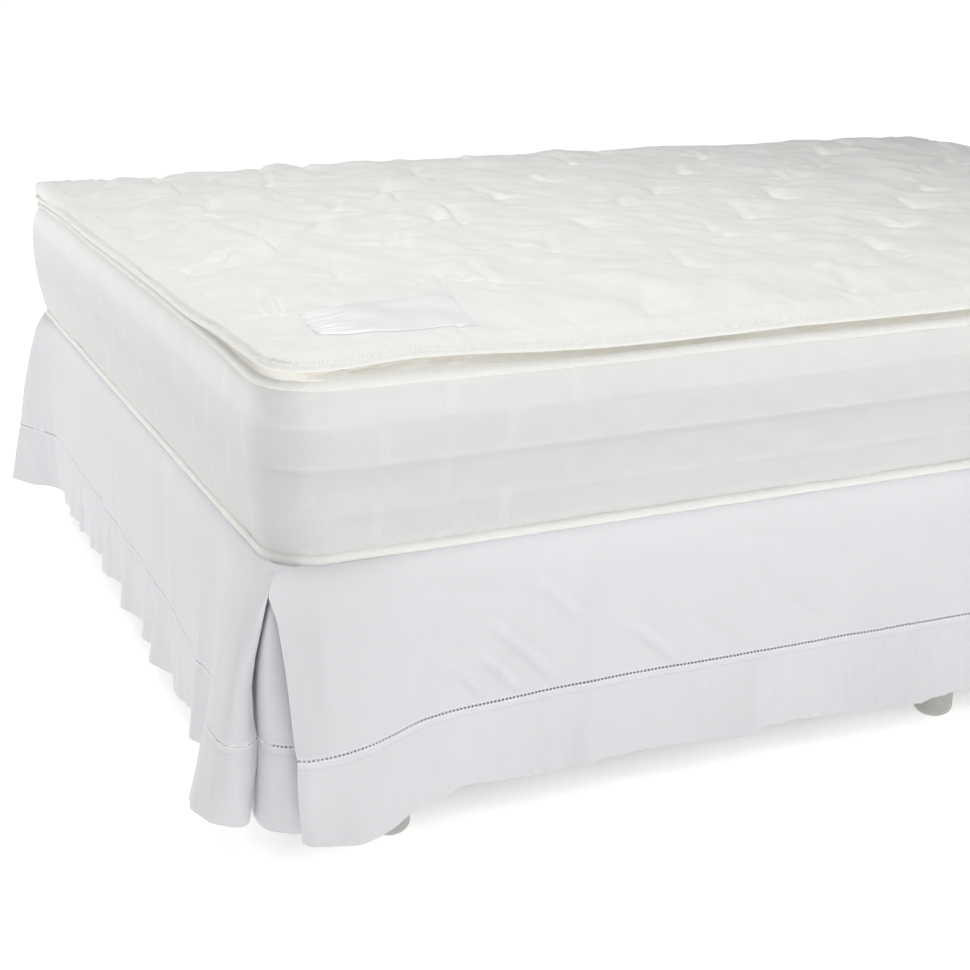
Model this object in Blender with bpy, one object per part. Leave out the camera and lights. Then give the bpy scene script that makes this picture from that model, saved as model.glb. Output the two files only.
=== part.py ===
"""Tailored bed skirt with split foot corners, hung on a bed base under a pillow-top mattress.

Metres, +Z up. +X runs from the foot end to the head end and +Y across the bed, the origin is on the floor.
The skirt is a deck of flat cloth that lies on the base, three panels that hang from its edges, and two corner
underlays behind the slits at the foot corners. The head side is open.
"""

import math

import bpy

# Bed
BED_LENGTH = 2.032
BED_WIDTH = 1.524
DECK_HEIGHT = 0.400
GAP = 0.0003

# Skirt cloth
DECK_THICK = 0.0015
PANEL_THICK = 0.002
UNDERLAY_THICK = 0.0015
SKIRT_DROP = 0.325
STITCH_DROP = 0.215
PANEL_TOP_DROP = 0.0008
PANEL_TOP_OUT = GAP + PANEL_THICK
UNDERLAY_TOP_DROP = DECK_THICK + GAP
FLARE_RISE = 0.48
HOLLOW_RISE = 1.0
KICK_RISE = 3.0
SLIT_REACH = 0.030
PANEL_COLUMNS = 64
UNDERLAY_COLUMNS = 12
PANEL_DEPTHS = (0.0, 0.010, 0.024, 0.060, 0.110, 0.165, STITCH_DROP, SKIRT_DROP)
UNDERLAY_DEPTHS = (UNDERLAY_TOP_DROP, 0.070, 0.140, STITCH_DROP, SKIRT_DROP)

# Mattress, heights above the deck. Corner radii go anticlockwise from the far head corner; the far foot corner is
# the sharpest. At the foot end the pillow top sags onto the border and closes the gap between their edges.
BODY_HEIGHT = 0.200
CORNERS_LOW = (0.065, 0.050, 0.065, 0.065)
CORNERS_HIGH = (0.085, 0.045, 0.090, 0.085)
BODY_BULGE = 0.003
CORD_HEIGHT = 0.2012
CORD_RADIUS = 0.0062
BODY_SHOULDER = BODY_HEIGHT - CORD_HEIGHT + math.sqrt(2) * (CORD_RADIUS + GAP)
PILLOW_LOW = BODY_HEIGHT + GAP
PILLOW_EDGE = 0.229
PILLOW_TAPE_RADIUS = 0.0055
PILLOW_TAPE_OUT = -0.0020
PILLOW_EDGE_OUT = PILLOW_TAPE_OUT - PILLOW_TAPE_RADIUS - GAP
PILLOW_CROWN = 0.024
PILLOW_MIDDLE = 0.013
GUSSET_INSET = 0.016
CROWN_REACH = 0.024
FOOT_SAG = 0.008
FOOT_CORD_LIFT = 0.006
FOOT_SAG_REACH = 0.080
TUFT_PITCH_X = 0.305
TUFT_PITCH_Y = 0.165
TUFT_START_X = 0.060
TUFT_START_Y = 0.055
TUFT_DEPTH = 0.009
TUFT_RADIUS = 0.050
CORNER_STEPS = 3

# Base and feet
BASE_INSET = 0.012
BASE_UNDERSIDE = 0.130
BASE_CORNER = 0.020
BASE_EDGE = 0.006
FOOT_RADIUS = 0.028
FOOT_ROUND = 0.015
FOOT_SIDES = 16
FOOT_ROUND_STEPS = 3
FOOT_STATIONS = (0.155, 1.016, 1.877)
FOOT_FROM_EDGE = 0.060

# The foot flares reach further out than the tape at the head, so the bed sits off centre by half of that.
FLARE_REACH = 0.0955
TAPE_REACH = 0.0055
FOOT_END = -BED_LENGTH / 2 + (FLARE_REACH - TAPE_REACH) / 2
NEAR_EDGE = -BED_WIDTH / 2

# Folds of a hanging panel, a row for each fold. Columns: along the bed edge at the top; then along and outward
# at the stitch line; then along and outward at the hem.
FOOT_FOLDS = (
    (0.001, 0.018, 0.025, 0.038, 0.035),
    (0.012, 0.006, 0.038, 0.019, 0.044),
    (0.028, 0.007, 0.055, 0.015, 0.057),
    (0.048, 0.023, 0.066, 0.030, 0.076),
    (0.072, 0.048, 0.070, 0.056, 0.088),
    (0.098, 0.080, 0.069, 0.087, 0.0935),
    (0.128, 0.118, 0.058, 0.125, 0.080),
    (0.165, 0.160, 0.040, 0.165, 0.052),
    (0.205, 0.202, 0.028, 0.205, 0.034),
    (0.240, 0.240, 0.029, 0.240, 0.036),
    (0.270, 0.272, 0.033, 0.270, 0.048),
    (0.305, 0.306, 0.029, 0.302, 0.034),
    (0.360, 0.360, 0.025, 0.362, 0.026),
    (0.420, 0.420, 0.021, 0.420, 0.019),
    (0.480, 0.480, 0.018, 0.480, 0.030),
    (0.540, 0.540, 0.016, 0.540, 0.015),
    (0.600, 0.600, 0.018, 0.600, 0.027),
    (0.655, 0.655, 0.014, 0.655, 0.017),
    (0.715, 0.715, 0.017, 0.715, 0.029),
    (0.775, 0.775, 0.013, 0.775, 0.016),
    (0.830, 0.830, 0.016, 0.830, 0.026),
    (0.890, 0.890, 0.014, 0.890, 0.015),
    (0.955, 0.955, 0.018, 0.955, 0.028),
    (1.015, 1.015, 0.013, 1.015, 0.016),
    (1.070, 1.070, 0.016, 1.070, 0.025),
    (1.125, 1.125, 0.014, 1.125, 0.014),
    (1.190, 1.190, 0.016, 1.190, 0.024),
    (1.245, 1.245, 0.012, 1.245, 0.013),
    (1.300, 1.300, 0.015, 1.300, 0.021),
    (1.355, 1.355, 0.014, 1.358, 0.016),
    (1.395, 1.398, 0.017, 1.404, 0.013),
    (1.425, 1.434, 0.028, 1.434, 0.027),
    (1.452, 1.466, 0.044, 1.462, 0.057),
    (1.476, 1.492, 0.056, 1.490, 0.073),
    (1.496, 1.512, 0.063, 1.514, 0.085),
    (1.510, 1.530, 0.062, 1.536, 0.083),
    (1.518, 1.544, 0.050, 1.550, 0.068),
    (1.523, 1.545, 0.036, 1.550, 0.050),
)
SIDE_FOLDS = (
    (0.001, 0.002, 0.057, 0.006, 0.052),
    (0.008, 0.014, 0.062, 0.012, 0.066),
    (0.020, 0.030, 0.064, 0.028, 0.075),
    (0.038, 0.047, 0.063, 0.048, 0.079),
    (0.060, 0.067, 0.060, 0.069, 0.081),
    (0.086, 0.092, 0.054, 0.093, 0.074),
    (0.112, 0.117, 0.043, 0.118, 0.062),
    (0.140, 0.142, 0.030, 0.145, 0.041),
    (0.170, 0.170, 0.017, 0.173, 0.026),
    (0.202, 0.202, 0.009, 0.207, 0.012),
    (0.232, 0.232, 0.004, 0.232, 0.001),
    (0.262, 0.262, 0.002, 0.262, 0.001),
    (0.300, 0.300, 0.000, 0.296, 0.003),
    (0.342, 0.342, -0.002, 0.342, 0.004),
    (0.380, 0.380, -0.003, 0.380, 0.004),
    (0.402, 0.402, -0.003, 0.402, 0.014),
    (0.424, 0.424, -0.003, 0.426, 0.003),
    (0.480, 0.480, -0.004, 0.480, 0.004),
    (0.535, 0.535, -0.003, 0.535, 0.003),
    (0.580, 0.580, -0.001, 0.580, 0.007),
    (0.618, 0.618, 0.000, 0.618, 0.015),
    (0.650, 0.650, 0.001, 0.652, 0.021),
    (0.675, 0.675, 0.001, 0.672, 0.012),
    (0.735, 0.735, 0.002, 0.735, 0.009),
    (0.785, 0.785, 0.003, 0.785, 0.012),
    (0.857, 0.857, 0.005, 0.857, 0.022),
    (0.917, 0.917, 0.007, 0.917, 0.030),
    (0.972, 0.972, 0.008, 0.972, 0.026),
    (1.030, 1.030, 0.009, 1.030, 0.027),
    (1.110, 1.110, 0.007, 1.110, 0.015),
    (1.190, 1.190, 0.007, 1.190, 0.024),
    (1.275, 1.275, 0.005, 1.275, 0.013),
    (1.360, 1.360, 0.006, 1.360, 0.022),
    (1.445, 1.445, 0.004, 1.445, 0.011),
    (1.535, 1.535, 0.005, 1.535, 0.020),
    (1.620, 1.620, 0.003, 1.620, 0.010),
    (1.710, 1.710, 0.005, 1.710, 0.018),
    (1.800, 1.800, 0.003, 1.800, 0.010),
    (1.890, 1.890, 0.004, 1.890, 0.016),
    (1.965, 1.965, 0.003, 1.965, 0.010),
    (2.030, 2.030, 0.003, 2.030, 0.011),
)

# Edge of a panel along the corner slit, a row for each depth: the slit starts 23 to 25 mm below the deck.
# Columns: depth, along from the panel's own corner, outward.
FOOT_SLIT = (
    (0.000, 0.001, PANEL_TOP_OUT),
    (0.025, -0.0015, 0.0104),
    (0.066, 0.0023, 0.0180),
    (0.104, 0.0070, 0.0260),
    (0.142, 0.0114, 0.0310),
    (0.187, 0.0166, 0.0290),
    (0.217, 0.0203, 0.0243),
    (0.252, 0.0247, 0.0260),
    (0.284, 0.0290, 0.0300),
    (0.325, 0.0340, 0.0350),
)
FOOT_FAR_SLIT = (
    (0.000, 0.001, PANEL_TOP_OUT),
    (0.025, -0.0015, 0.0104),
    (0.066, -0.0040, 0.0180),
    (0.142, -0.0140, 0.0290),
    (0.217, -0.0210, 0.0360),
    (0.325, -0.0260, 0.0500),
)
SIDE_SLIT = (
    (0.000, 0.001, PANEL_TOP_OUT),
    (0.023, -0.0119, 0.0075),
    (0.055, -0.0036, 0.0145),
    (0.109, -0.0005, 0.0290),
    (0.143, 0.0002, 0.0380),
    (0.200, 0.0000, 0.0530),
    (0.215, 0.0020, 0.0570),
    (0.249, 0.0010, 0.0554),
    (0.325, 0.0060, 0.0520),
)

# Corner underlay in plan from the foot end round to the long side, a row for each section. Columns: x, y at the
# top; x, y at the stitch line; x, y at the hem, all from the sharp corner of the deck, outward negative.
UNDERLAY_SECTIONS = (
    (0.0006, 0.130, -0.004, 0.130, -0.005, 0.130),
    (0.0006, 0.096, -0.008, 0.096, -0.010, 0.098),
    (0.0006, 0.065, -0.016, 0.064, -0.021, 0.070),
    (0.0006, 0.034, -0.0205, 0.034, -0.028, 0.045),
    (0.0006, 0.010, -0.0200, 0.012, -0.0290, 0.018),
    (0.0010, 0.001, -0.0140, -0.0040, -0.0235, -0.0085),
    (0.0100, 0.0006, -0.0040, -0.0140, -0.0080, -0.0235),
    (0.034, 0.0006, 0.0100, -0.0220, 0.0100, -0.0330),
    (0.065, 0.0006, 0.0480, -0.0210, 0.0460, -0.0320),
    (0.096, 0.0006, 0.0960, -0.0120, 0.0960, -0.0190),
    (0.130, 0.0006, 0.1300, -0.0050, 0.1300, -0.0070),
)


def clear_scene():
    for thing in list(bpy.data.objects):
        bpy.data.objects.remove(thing, do_unlink=True)


def material(name, colour, roughness, sheen=0.0):
    made = bpy.data.materials.new(name)
    made.use_nodes = True
    shader = made.node_tree.nodes["Principled BSDF"]
    shader.inputs["Base Color"].default_value = (*colour, 1.0)
    shader.inputs["Roughness"].default_value = roughness
    shader.inputs["Metallic"].default_value = 0.0
    shader.inputs["Sheen Weight"].default_value = sheen
    return made


def mesh_object(name, points, faces, finish, sharp_degrees=None):
    mesh = bpy.data.meshes.new(name)
    mesh.from_pydata(points, [], faces)
    mesh.materials.append(finish)
    mesh.validate()
    if sharp_degrees is not None:
        mesh.shade_smooth()
        mesh.set_sharp_from_angle(angle=math.radians(sharp_degrees))
    made = bpy.data.objects.new(name, mesh)
    bpy.context.scene.collection.objects.link(made)
    return made


def bed_point(x, y, height):
    """A point given from the near foot corner of the deck and above the floor, in the part's frame."""
    return (FOOT_END + x, NEAR_EDGE + y, height)


def spline(rows, t):
    """The row of numbers at t, from 0 to 1, on a smooth curve through the rows."""
    spans = len(rows) - 1
    span = min(int(t * spans), spans - 1)
    f = t * spans - span
    near = [rows[min(max(span + step, 0), spans)] for step in (-1, 0, 1, 2)]
    return [
        b + 0.5 * f * (c - a + f * (2 * a - 5 * b + 4 * c - d + f * (3 * b - a - 3 * c + d)))
        for a, b, c, d in zip(*near)
    ]


def between(rows, depth):
    """The second and third columns of the rows at a depth, on straight lines between the rows."""
    for low, high in zip(rows, rows[1:]):
        if depth <= high[0] + 1e-9:
            f = (depth - low[0]) / (high[0] - low[0])
            return [a + f * (b - a) for a, b in zip(low[1:], high[1:])]
    return list(rows[-1][1:])


def hang(top, stitch, hem, depth):
    """Where a thread is at a depth: flares open quickly, hollows deepen evenly, and the hem kicks out slowly."""
    line, fall = STITCH_DROP / SKIRT_DROP, depth / SKIRT_DROP
    for rise in (FLARE_RISE, HOLLOW_RISE):
        share = (stitch - top - line**KICK_RISE * (hem - top)) / (line**rise - line**KICK_RISE)
        if share > 0:
            break
    return top + share * fall**rise + (hem - top - share) * fall**KICK_RISE


def panel_place(folds, slits, t, depth):
    """Along and outward of a panel's outer face. Slits holds (edge, slit rows, +1 or -1) for each slit end."""
    top, stitch_at, stitch_out, hem_at, hem_out = spline(folds, t)
    at = hang(top, stitch_at, hem_at, depth)
    out = hang(PANEL_TOP_OUT, stitch_out, hem_out, depth)
    for edge, slit, inward in slits:
        _, end_stitch_at, end_stitch_out, end_hem_at, end_hem_out = edge
        slit_at, slit_out = between(slit, depth)
        slit_at = slit_at if inward > 0 else BED_WIDTH - slit_at
        fade = math.exp(-(((top - edge[0]) / SLIT_REACH) ** 2))
        at += fade * (slit_at - hang(edge[0], end_stitch_at, end_hem_at, depth))
        out += fade * (slit_out - hang(PANEL_TOP_OUT, end_stitch_out, end_hem_out, depth))
    return at, out


def cloth_sheet(name, grid, thickness, finish, flip):
    """A sheet from rows of points on its outer face, thickened inward."""
    rows, columns = len(grid), len(grid[0])
    points = [point for row in grid for point in row]
    faces = []
    for r in range(rows - 1):
        for c in range(columns - 1):
            corner = r * columns + c
            face = (corner, corner + columns, corner + columns + 1, corner + 1)
            faces.append(face[::-1] if flip else face)
    sheet = mesh_object(name, points, faces, finish, sharp_degrees=60)
    solidify = sheet.modifiers.new("thickness", "SOLIDIFY")
    solidify.thickness = thickness
    solidify.offset = -1.0
    return sheet


def hanging_panel(name, folds, slits, to_bed, finish, flip):
    grid = []
    for depth in PANEL_DEPTHS:
        height = DECK_HEIGHT - PANEL_TOP_DROP - depth * (SKIRT_DROP - PANEL_TOP_DROP) / SKIRT_DROP
        row = []
        for column in range(PANEL_COLUMNS + 1):
            at, out = panel_place(folds, slits, column / PANEL_COLUMNS, depth)
            row.append(bed_point(*to_bed(at, out), height))
        grid.append(row)
    return cloth_sheet(name, grid, PANEL_THICK, finish, flip)


def corner_underlay(name, far_side, finish):
    grid = []
    for depth in UNDERLAY_DEPTHS:
        share = (depth - UNDERLAY_TOP_DROP) / (STITCH_DROP - UNDERLAY_TOP_DROP)
        below = max(0.0, (depth - STITCH_DROP) / (SKIRT_DROP - STITCH_DROP))
        row = []
        for column in range(UNDERLAY_COLUMNS + 1):
            top_x, top_y, line_x, line_y, hem_x, hem_y = spline(UNDERLAY_SECTIONS, column / UNDERLAY_COLUMNS)
            x = top_x + min(share, 1.0) * (line_x - top_x) + below * (hem_x - line_x)
            y = top_y + min(share, 1.0) * (line_y - top_y) + below * (hem_y - line_y)
            row.append(bed_point(x, BED_WIDTH - y if far_side else y, DECK_HEIGHT - depth))
        grid.append(row)
    return cloth_sheet(name, grid, UNDERLAY_THICK, finish, flip=far_side)


def rounded_loop(out, corners):
    """Plan points of the bed's rectangle grown by out, with rounded corners, anticlockwise.

    The corner points are the same share of each arc in every loop, so nested loops stay an even gap apart.
    """
    quarter = [math.asin(k / CORNER_STEPS / math.sqrt(2)) for k in range(CORNER_STEPS + 1)]
    angles = quarter + [math.pi / 2 - angle for angle in reversed(quarter[:-1])]
    loop = []
    for turn, ((right, back), corner) in enumerate(zip(((1, 1), (0, 1), (0, 0), (1, 0)), corners)):
        x = BED_LENGTH - corner if right else corner
        y = BED_WIDTH - corner if back else corner
        radius, start = corner + out, turn * math.pi / 2
        loop += [(x + radius * math.cos(start + a), y + radius * math.sin(start + a)) for a in angles]
    return loop


def band_faces(loops, size, closed):
    """Quads between stacked loops of equal size, and from the last back to the first when closed."""
    faces = []
    for level in range(loops if closed else loops - 1):
        low, high = level * size, (level + 1) % loops * size
        for k in range(size):
            after = (k + 1) % size
            faces.append((low + k, low + after, high + after, high + k))
    return faces


def stacked_solid(name, levels, finish, sharp_degrees=30):
    """A closed solid through rounded loops. Levels holds (height, out, corners) from the bottom up."""
    points = []
    for height, out, corners in levels:
        points += [bed_point(x, y, height) for x, y in rounded_loop(out, corners)]
    size = len(points) // len(levels)
    faces = band_faces(len(levels), size, closed=False)
    faces.append(tuple(reversed(range(size))))
    faces.append(tuple(range(len(points) - size, len(points))))
    return mesh_object(name, points, faces, finish, sharp_degrees)


def foot_sag(x):
    """1 at the foot end, falling to 0 a little way along the bed."""
    share = min(max(1 - x / FOOT_SAG_REACH, 0.0), 1.0)
    return share * share * (3 - 2 * share)


def edge_tape(name, section, corners, finish, foot_lift=0.0):
    """A band round the bed. Section holds (out, height above the deck), anticlockwise seen along the band."""
    points = []
    for out, height in section:
        for x, y in rounded_loop(out, corners):
            points.append(bed_point(x, y, DECK_HEIGHT + height + foot_lift * foot_sag(x)))
    size = len(points) // len(section)
    return mesh_object(name, points, band_faces(len(section), size, closed=True), finish, sharp_degrees=80)


def round_section(out, height, radius, sides=8):
    turns = [2 * math.pi * k / sides for k in range(sides)]
    return [(out + radius * math.cos(a), height + radius * math.sin(a)) for a in turns]


def grid_stations(length, start, pitch):
    """Grid lines across the pillow top: close together in the corner zones, then on the tuft pitch."""
    zone = max(CORNERS_HIGH)
    edge = [zone * k / CORNER_STEPS for k in range(CORNER_STEPS + 1)]
    place = start + pitch * math.ceil((1.1 * zone - start) / pitch)
    middle = []
    while place < length - 1.1 * zone:
        middle.append(place)
        place += pitch
    return edge + middle + [length - value for value in reversed(edge)]


def rounded_plan(x, y, out):
    """A point of the bed's rectangle moved so that the square corners become round, the edge grown by out."""
    right, back = x > BED_LENGTH / 2, y > BED_WIDTH / 2
    corner = CORNERS_HIGH[{(True, True): 0, (False, True): 1, (False, False): 2, (True, False): 3}[right, back]]
    zone = max(CORNERS_HIGH)
    from_x = BED_LENGTH - x if right else x
    from_y = BED_WIDTH - y if back else y
    a, b = 1 - from_x / zone, 1 - from_y / zone
    if a > 0 and b > 0:
        a, b = a * math.sqrt(1 - b * b / 2), b * math.sqrt(1 - a * a / 2)
    from_x = zone * (1 - a) if a <= 0 else corner - a * (corner + out) + (zone - corner) * (1 - a)
    from_y = zone * (1 - b) if b <= 0 else corner - b * (corner + out) + (zone - corner) * (1 - b)
    return (BED_LENGTH - from_x if right else from_x), (BED_WIDTH - from_y if back else from_y)


def tuft_dip(x, y):
    """Depth of the pillow top's surface at a point: staggered rows of tufts."""
    row = round((y - TUFT_START_Y) / TUFT_PITCH_Y)
    dip = 0.0
    for near_row in (row - 1, row, row + 1):
        shift = TUFT_START_X + (0.5 * TUFT_PITCH_X if near_row % 2 == 0 else 0.0)
        column = round((x - shift) / TUFT_PITCH_X)
        reach = math.hypot(x - shift - column * TUFT_PITCH_X, y - TUFT_START_Y - near_row * TUFT_PITCH_Y)
        dip = max(dip, math.exp(-((reach / TUFT_RADIUS) ** 2)))
    return TUFT_DEPTH * dip


def pillow_top(finish):
    """Quilted pad on the mattress: an inset gusset, a stitched edge, and a crowned, tufted top."""
    lines_x = grid_stations(BED_LENGTH, TUFT_START_X, TUFT_PITCH_X / 4)
    lines_y = grid_stations(BED_WIDTH, TUFT_START_Y, TUFT_PITCH_Y / 2)
    points, index = [], {}
    for i, x in enumerate(lines_x):
        for j, y in enumerate(lines_y):
            inside = min(x, y, BED_LENGTH - x, BED_WIDTH - y)
            sag = FOOT_SAG * foot_sag(x)
            crown = (PILLOW_CROWN + sag) * (1 - math.exp(-inside / CROWN_REACH))
            middle = PILLOW_MIDDLE * math.sin(math.pi * x / BED_LENGTH) * min(1.0, inside / TUFT_PITCH_Y)
            dip = tuft_dip(x, y) * min(1.0, inside / TUFT_START_X)
            height = PILLOW_EDGE + PILLOW_TAPE_RADIUS - sag + crown + middle - dip
            index[i, j] = len(points)
            points.append(bed_point(*rounded_plan(x, y, PILLOW_EDGE_OUT), DECK_HEIGHT + height))
    last_x, last_y = len(lines_x) - 1, len(lines_y) - 1
    faces = [
        (index[i, j], index[i + 1, j], index[i + 1, j + 1], index[i, j + 1])
        for i in range(last_x)
        for j in range(last_y)
    ]
    rim = [(i, 0) for i in range(last_x)] + [(last_x, j) for j in range(last_y)]
    rim += [(i, last_y) for i in range(last_x, 0, -1)] + [(0, j) for j in range(last_y, 0, -1)]
    sides = (
        (PILLOW_EDGE_OUT, PILLOW_EDGE - PILLOW_TAPE_RADIUS, FOOT_SAG),
        (-GUSSET_INSET, PILLOW_EDGE - 2 * PILLOW_TAPE_RADIUS, FOOT_SAG),
        (-GUSSET_INSET, PILLOW_LOW, 0.0),
    )
    upper = [index[key] for key in rim]
    for out, height, sag in sides:
        lower = []
        for i, j in rim:
            x, y = rounded_plan(lines_x[i], lines_y[j], out)
            lower.append(len(points))
            points.append(bed_point(x, y, DECK_HEIGHT + height - sag * foot_sag(lines_x[i])))
        for k in range(len(rim)):
            after = (k + 1) % len(rim)
            faces.append((lower[k], lower[after], upper[after], upper[k]))
        upper = lower
    faces.append(tuple(reversed(upper)))
    return mesh_object("pillow_top", points, faces, finish, sharp_degrees=50)


def mattress(ticking, tape):
    body = (
        (GAP, 0.0, CORNERS_LOW),
        (BODY_HEIGHT / 2, BODY_BULGE, [(low + high) / 2 for low, high in zip(CORNERS_LOW, CORNERS_HIGH)]),
        (BODY_HEIGHT - BODY_SHOULDER, 0.0, CORNERS_HIGH),
        (BODY_HEIGHT, -BODY_SHOULDER, CORNERS_HIGH),
    )
    levels = [(DECK_HEIGHT + height, out, corners) for height, out, corners in body]
    stacked_solid("mattress_body", levels, ticking)
    pillow_top(ticking)
    low, high, edge, slope = 0.001, 0.013, 0.0012, 0.003
    tape_section = ((edge, low), (slope, low), (TAPE_REACH, low + slope), (TAPE_REACH, high - slope),
                    (slope, high), (edge, high))
    edge_tape("bottom_tape", tape_section, CORNERS_LOW, tape)
    cord_section = round_section(0.0, CORD_HEIGHT, CORD_RADIUS)
    edge_tape("border_cord", cord_section, CORNERS_HIGH, tape, foot_lift=FOOT_CORD_LIFT)
    pillow_section = round_section(PILLOW_TAPE_OUT, PILLOW_EDGE, PILLOW_TAPE_RADIUS)
    edge_tape("pillow_tape", pillow_section, CORNERS_HIGH, tape, foot_lift=-FOOT_SAG)


def bed_base(finish):
    top = DECK_HEIGHT - DECK_THICK - GAP
    corners = (BASE_CORNER + BASE_INSET,) * 4
    levels = (
        (BASE_UNDERSIDE, -BASE_INSET - BASE_EDGE, corners),
        (BASE_UNDERSIDE + BASE_EDGE, -BASE_INSET, corners),
        (top - BASE_EDGE, -BASE_INSET, corners),
        (top, -BASE_INSET - BASE_EDGE, corners),
    )
    stacked_solid("bed_base", levels, finish)


def skirt_deck(finish):
    low, high = DECK_HEIGHT - DECK_THICK, DECK_HEIGHT
    rim = ((0.0, 0.0), (BED_LENGTH, 0.0), (BED_LENGTH, BED_WIDTH), (0.0, BED_WIDTH))
    points = [bed_point(x, y, height) for height in (low, high) for x, y in rim]
    faces = band_faces(2, len(rim), closed=False) + [(3, 2, 1, 0), (4, 5, 6, 7)]
    mesh_object("skirt_deck", points, faces, finish)


def bed_foot(name, x, y, finish):
    """A round foot whose lower edge is rounded over to a flat spot."""
    levels = [(FOOT_RADIUS - FOOT_ROUND, 0.0)]
    for step in range(1, FOOT_ROUND_STEPS + 1):
        angle = math.pi / 2 * step / FOOT_ROUND_STEPS
        levels.append((FOOT_RADIUS - FOOT_ROUND * (1 - math.sin(angle)), FOOT_ROUND * (1 - math.cos(angle))))
    levels.append((FOOT_RADIUS, BASE_UNDERSIDE - GAP))
    points = []
    for radius, height in levels:
        for side in range(FOOT_SIDES):
            angle = 2 * math.pi * side / FOOT_SIDES
            points.append((radius * math.cos(angle), radius * math.sin(angle), height))
    faces = band_faces(len(levels), FOOT_SIDES, closed=False)
    faces.append(tuple(reversed(range(FOOT_SIDES))))
    faces.append(tuple(range(len(points) - FOOT_SIDES, len(points))))
    foot = mesh_object(name, points, faces, finish, sharp_degrees=40)
    foot.location = bed_point(x, y, 0.0)
    return foot


def bed_skirt(finish):
    skirt_deck(finish)
    foot_slits = ((FOOT_FOLDS[0], FOOT_SLIT, 1), (FOOT_FOLDS[-1], FOOT_FAR_SLIT, -1))
    side_slits = ((SIDE_FOLDS[0], SIDE_SLIT, 1),)
    hanging_panel("skirt_foot_panel", FOOT_FOLDS, foot_slits, lambda at, out: (-out, at), finish, flip=True)
    hanging_panel("skirt_near_panel", SIDE_FOLDS, side_slits, lambda at, out: (at, -out), finish, flip=False)
    hanging_panel("skirt_far_panel", SIDE_FOLDS, side_slits, lambda at, out: (at, BED_WIDTH + out), finish,
                  flip=True)
    corner_underlay("skirt_near_underlay", far_side=False, finish=finish)
    corner_underlay("skirt_far_underlay", far_side=True, finish=finish)


def main():
    clear_scene()
    skirt_cloth = material("skirt_cloth", (0.80, 0.79, 0.83), 0.85, sheen=0.2)
    ticking = material("ticking", (0.82, 0.83, 0.78), 0.7, sheen=0.1)
    tape = material("edge_tape", (0.84, 0.84, 0.80), 0.6)
    base_cloth = material("base_cloth", (0.72, 0.72, 0.71), 0.9)
    foot_plastic = material("foot_plastic", (0.50, 0.50, 0.47), 0.5)
    bed_skirt(skirt_cloth)
    mattress(ticking, tape)
    bed_base(base_cloth)
    places = [(x, y) for y in (FOOT_FROM_EDGE, BED_WIDTH - FOOT_FROM_EDGE) for x in FOOT_STATIONS]
    for number, (x, y) in enumerate(places, start=1):
        bed_foot(f"bed_foot_{number}", x, y, foot_plastic)


main()
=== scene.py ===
"""Looks of a tailored bed skirt with its mattress, base and feet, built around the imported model.

Metres, +Z up. +X runs from the foot end to the head end and +Y across the bed. Places on the bed are given
from the near foot corner of the skirt's deck, and heights are above the deck.
"""

import math

import bpy
import numpy as np
from mathutils import Matrix, Vector


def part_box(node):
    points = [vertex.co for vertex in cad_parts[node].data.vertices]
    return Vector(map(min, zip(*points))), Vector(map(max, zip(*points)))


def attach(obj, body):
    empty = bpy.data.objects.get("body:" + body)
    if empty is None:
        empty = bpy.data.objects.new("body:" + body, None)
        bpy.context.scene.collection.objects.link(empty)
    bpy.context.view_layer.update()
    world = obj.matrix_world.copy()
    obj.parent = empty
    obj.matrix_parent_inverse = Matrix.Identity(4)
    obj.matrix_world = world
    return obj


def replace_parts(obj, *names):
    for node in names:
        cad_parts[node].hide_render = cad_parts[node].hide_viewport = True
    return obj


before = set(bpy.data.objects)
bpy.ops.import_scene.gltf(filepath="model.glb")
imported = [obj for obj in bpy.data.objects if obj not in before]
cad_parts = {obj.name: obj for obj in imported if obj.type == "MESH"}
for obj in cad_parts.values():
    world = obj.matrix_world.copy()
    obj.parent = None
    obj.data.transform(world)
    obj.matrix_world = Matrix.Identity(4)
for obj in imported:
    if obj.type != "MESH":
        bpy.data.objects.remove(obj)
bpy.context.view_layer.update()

# The bed
DECK_LOW, DECK_HIGH = (np.array(corner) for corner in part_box("skirt_deck"))
CORNER = np.array((DECK_LOW[0], DECK_LOW[1], DECK_HIGH[2]))
BED_LENGTH, BED_WIDTH = DECK_HIGH[:2] - DECK_LOW[:2]
DECK_HEIGHT = DECK_HIGH[2]

# Camera, from the near foot corner of the deck
CAMERA_PLACE = (-0.50414, -1.75608, 0.70036)
CAMERA_AIM = (0.38103, 0.87035, -0.31195)
CAMERA_LENS = 62.49
SENSOR = 36.0

WORLD_GLOW = 0.18
FLOOR_GLOW = 0.66
BACKDROP_GLOW = 0.87
FLOOR_RADIUS = 60.0
# Area lamps, all turned to one place. Columns: name, place, size, power.
LAMP_AIM = (0.0, 0.0, 0.4)
LAMPS = (
    ("right", (2.4, -4.0, 2.9), (3.0, 2.4), 55.0),
    ("far_left", (-2.9, 3.0, 1.5), (1.8, 1.6), 37.0),
    ("top_foot", (-0.9, -0.2, 3.1), (1.6, 1.6), 41.0),
    ("near_left", (-1.6, -2.8, 3.2), (2.0, 1.6), 30.0),
)

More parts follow.
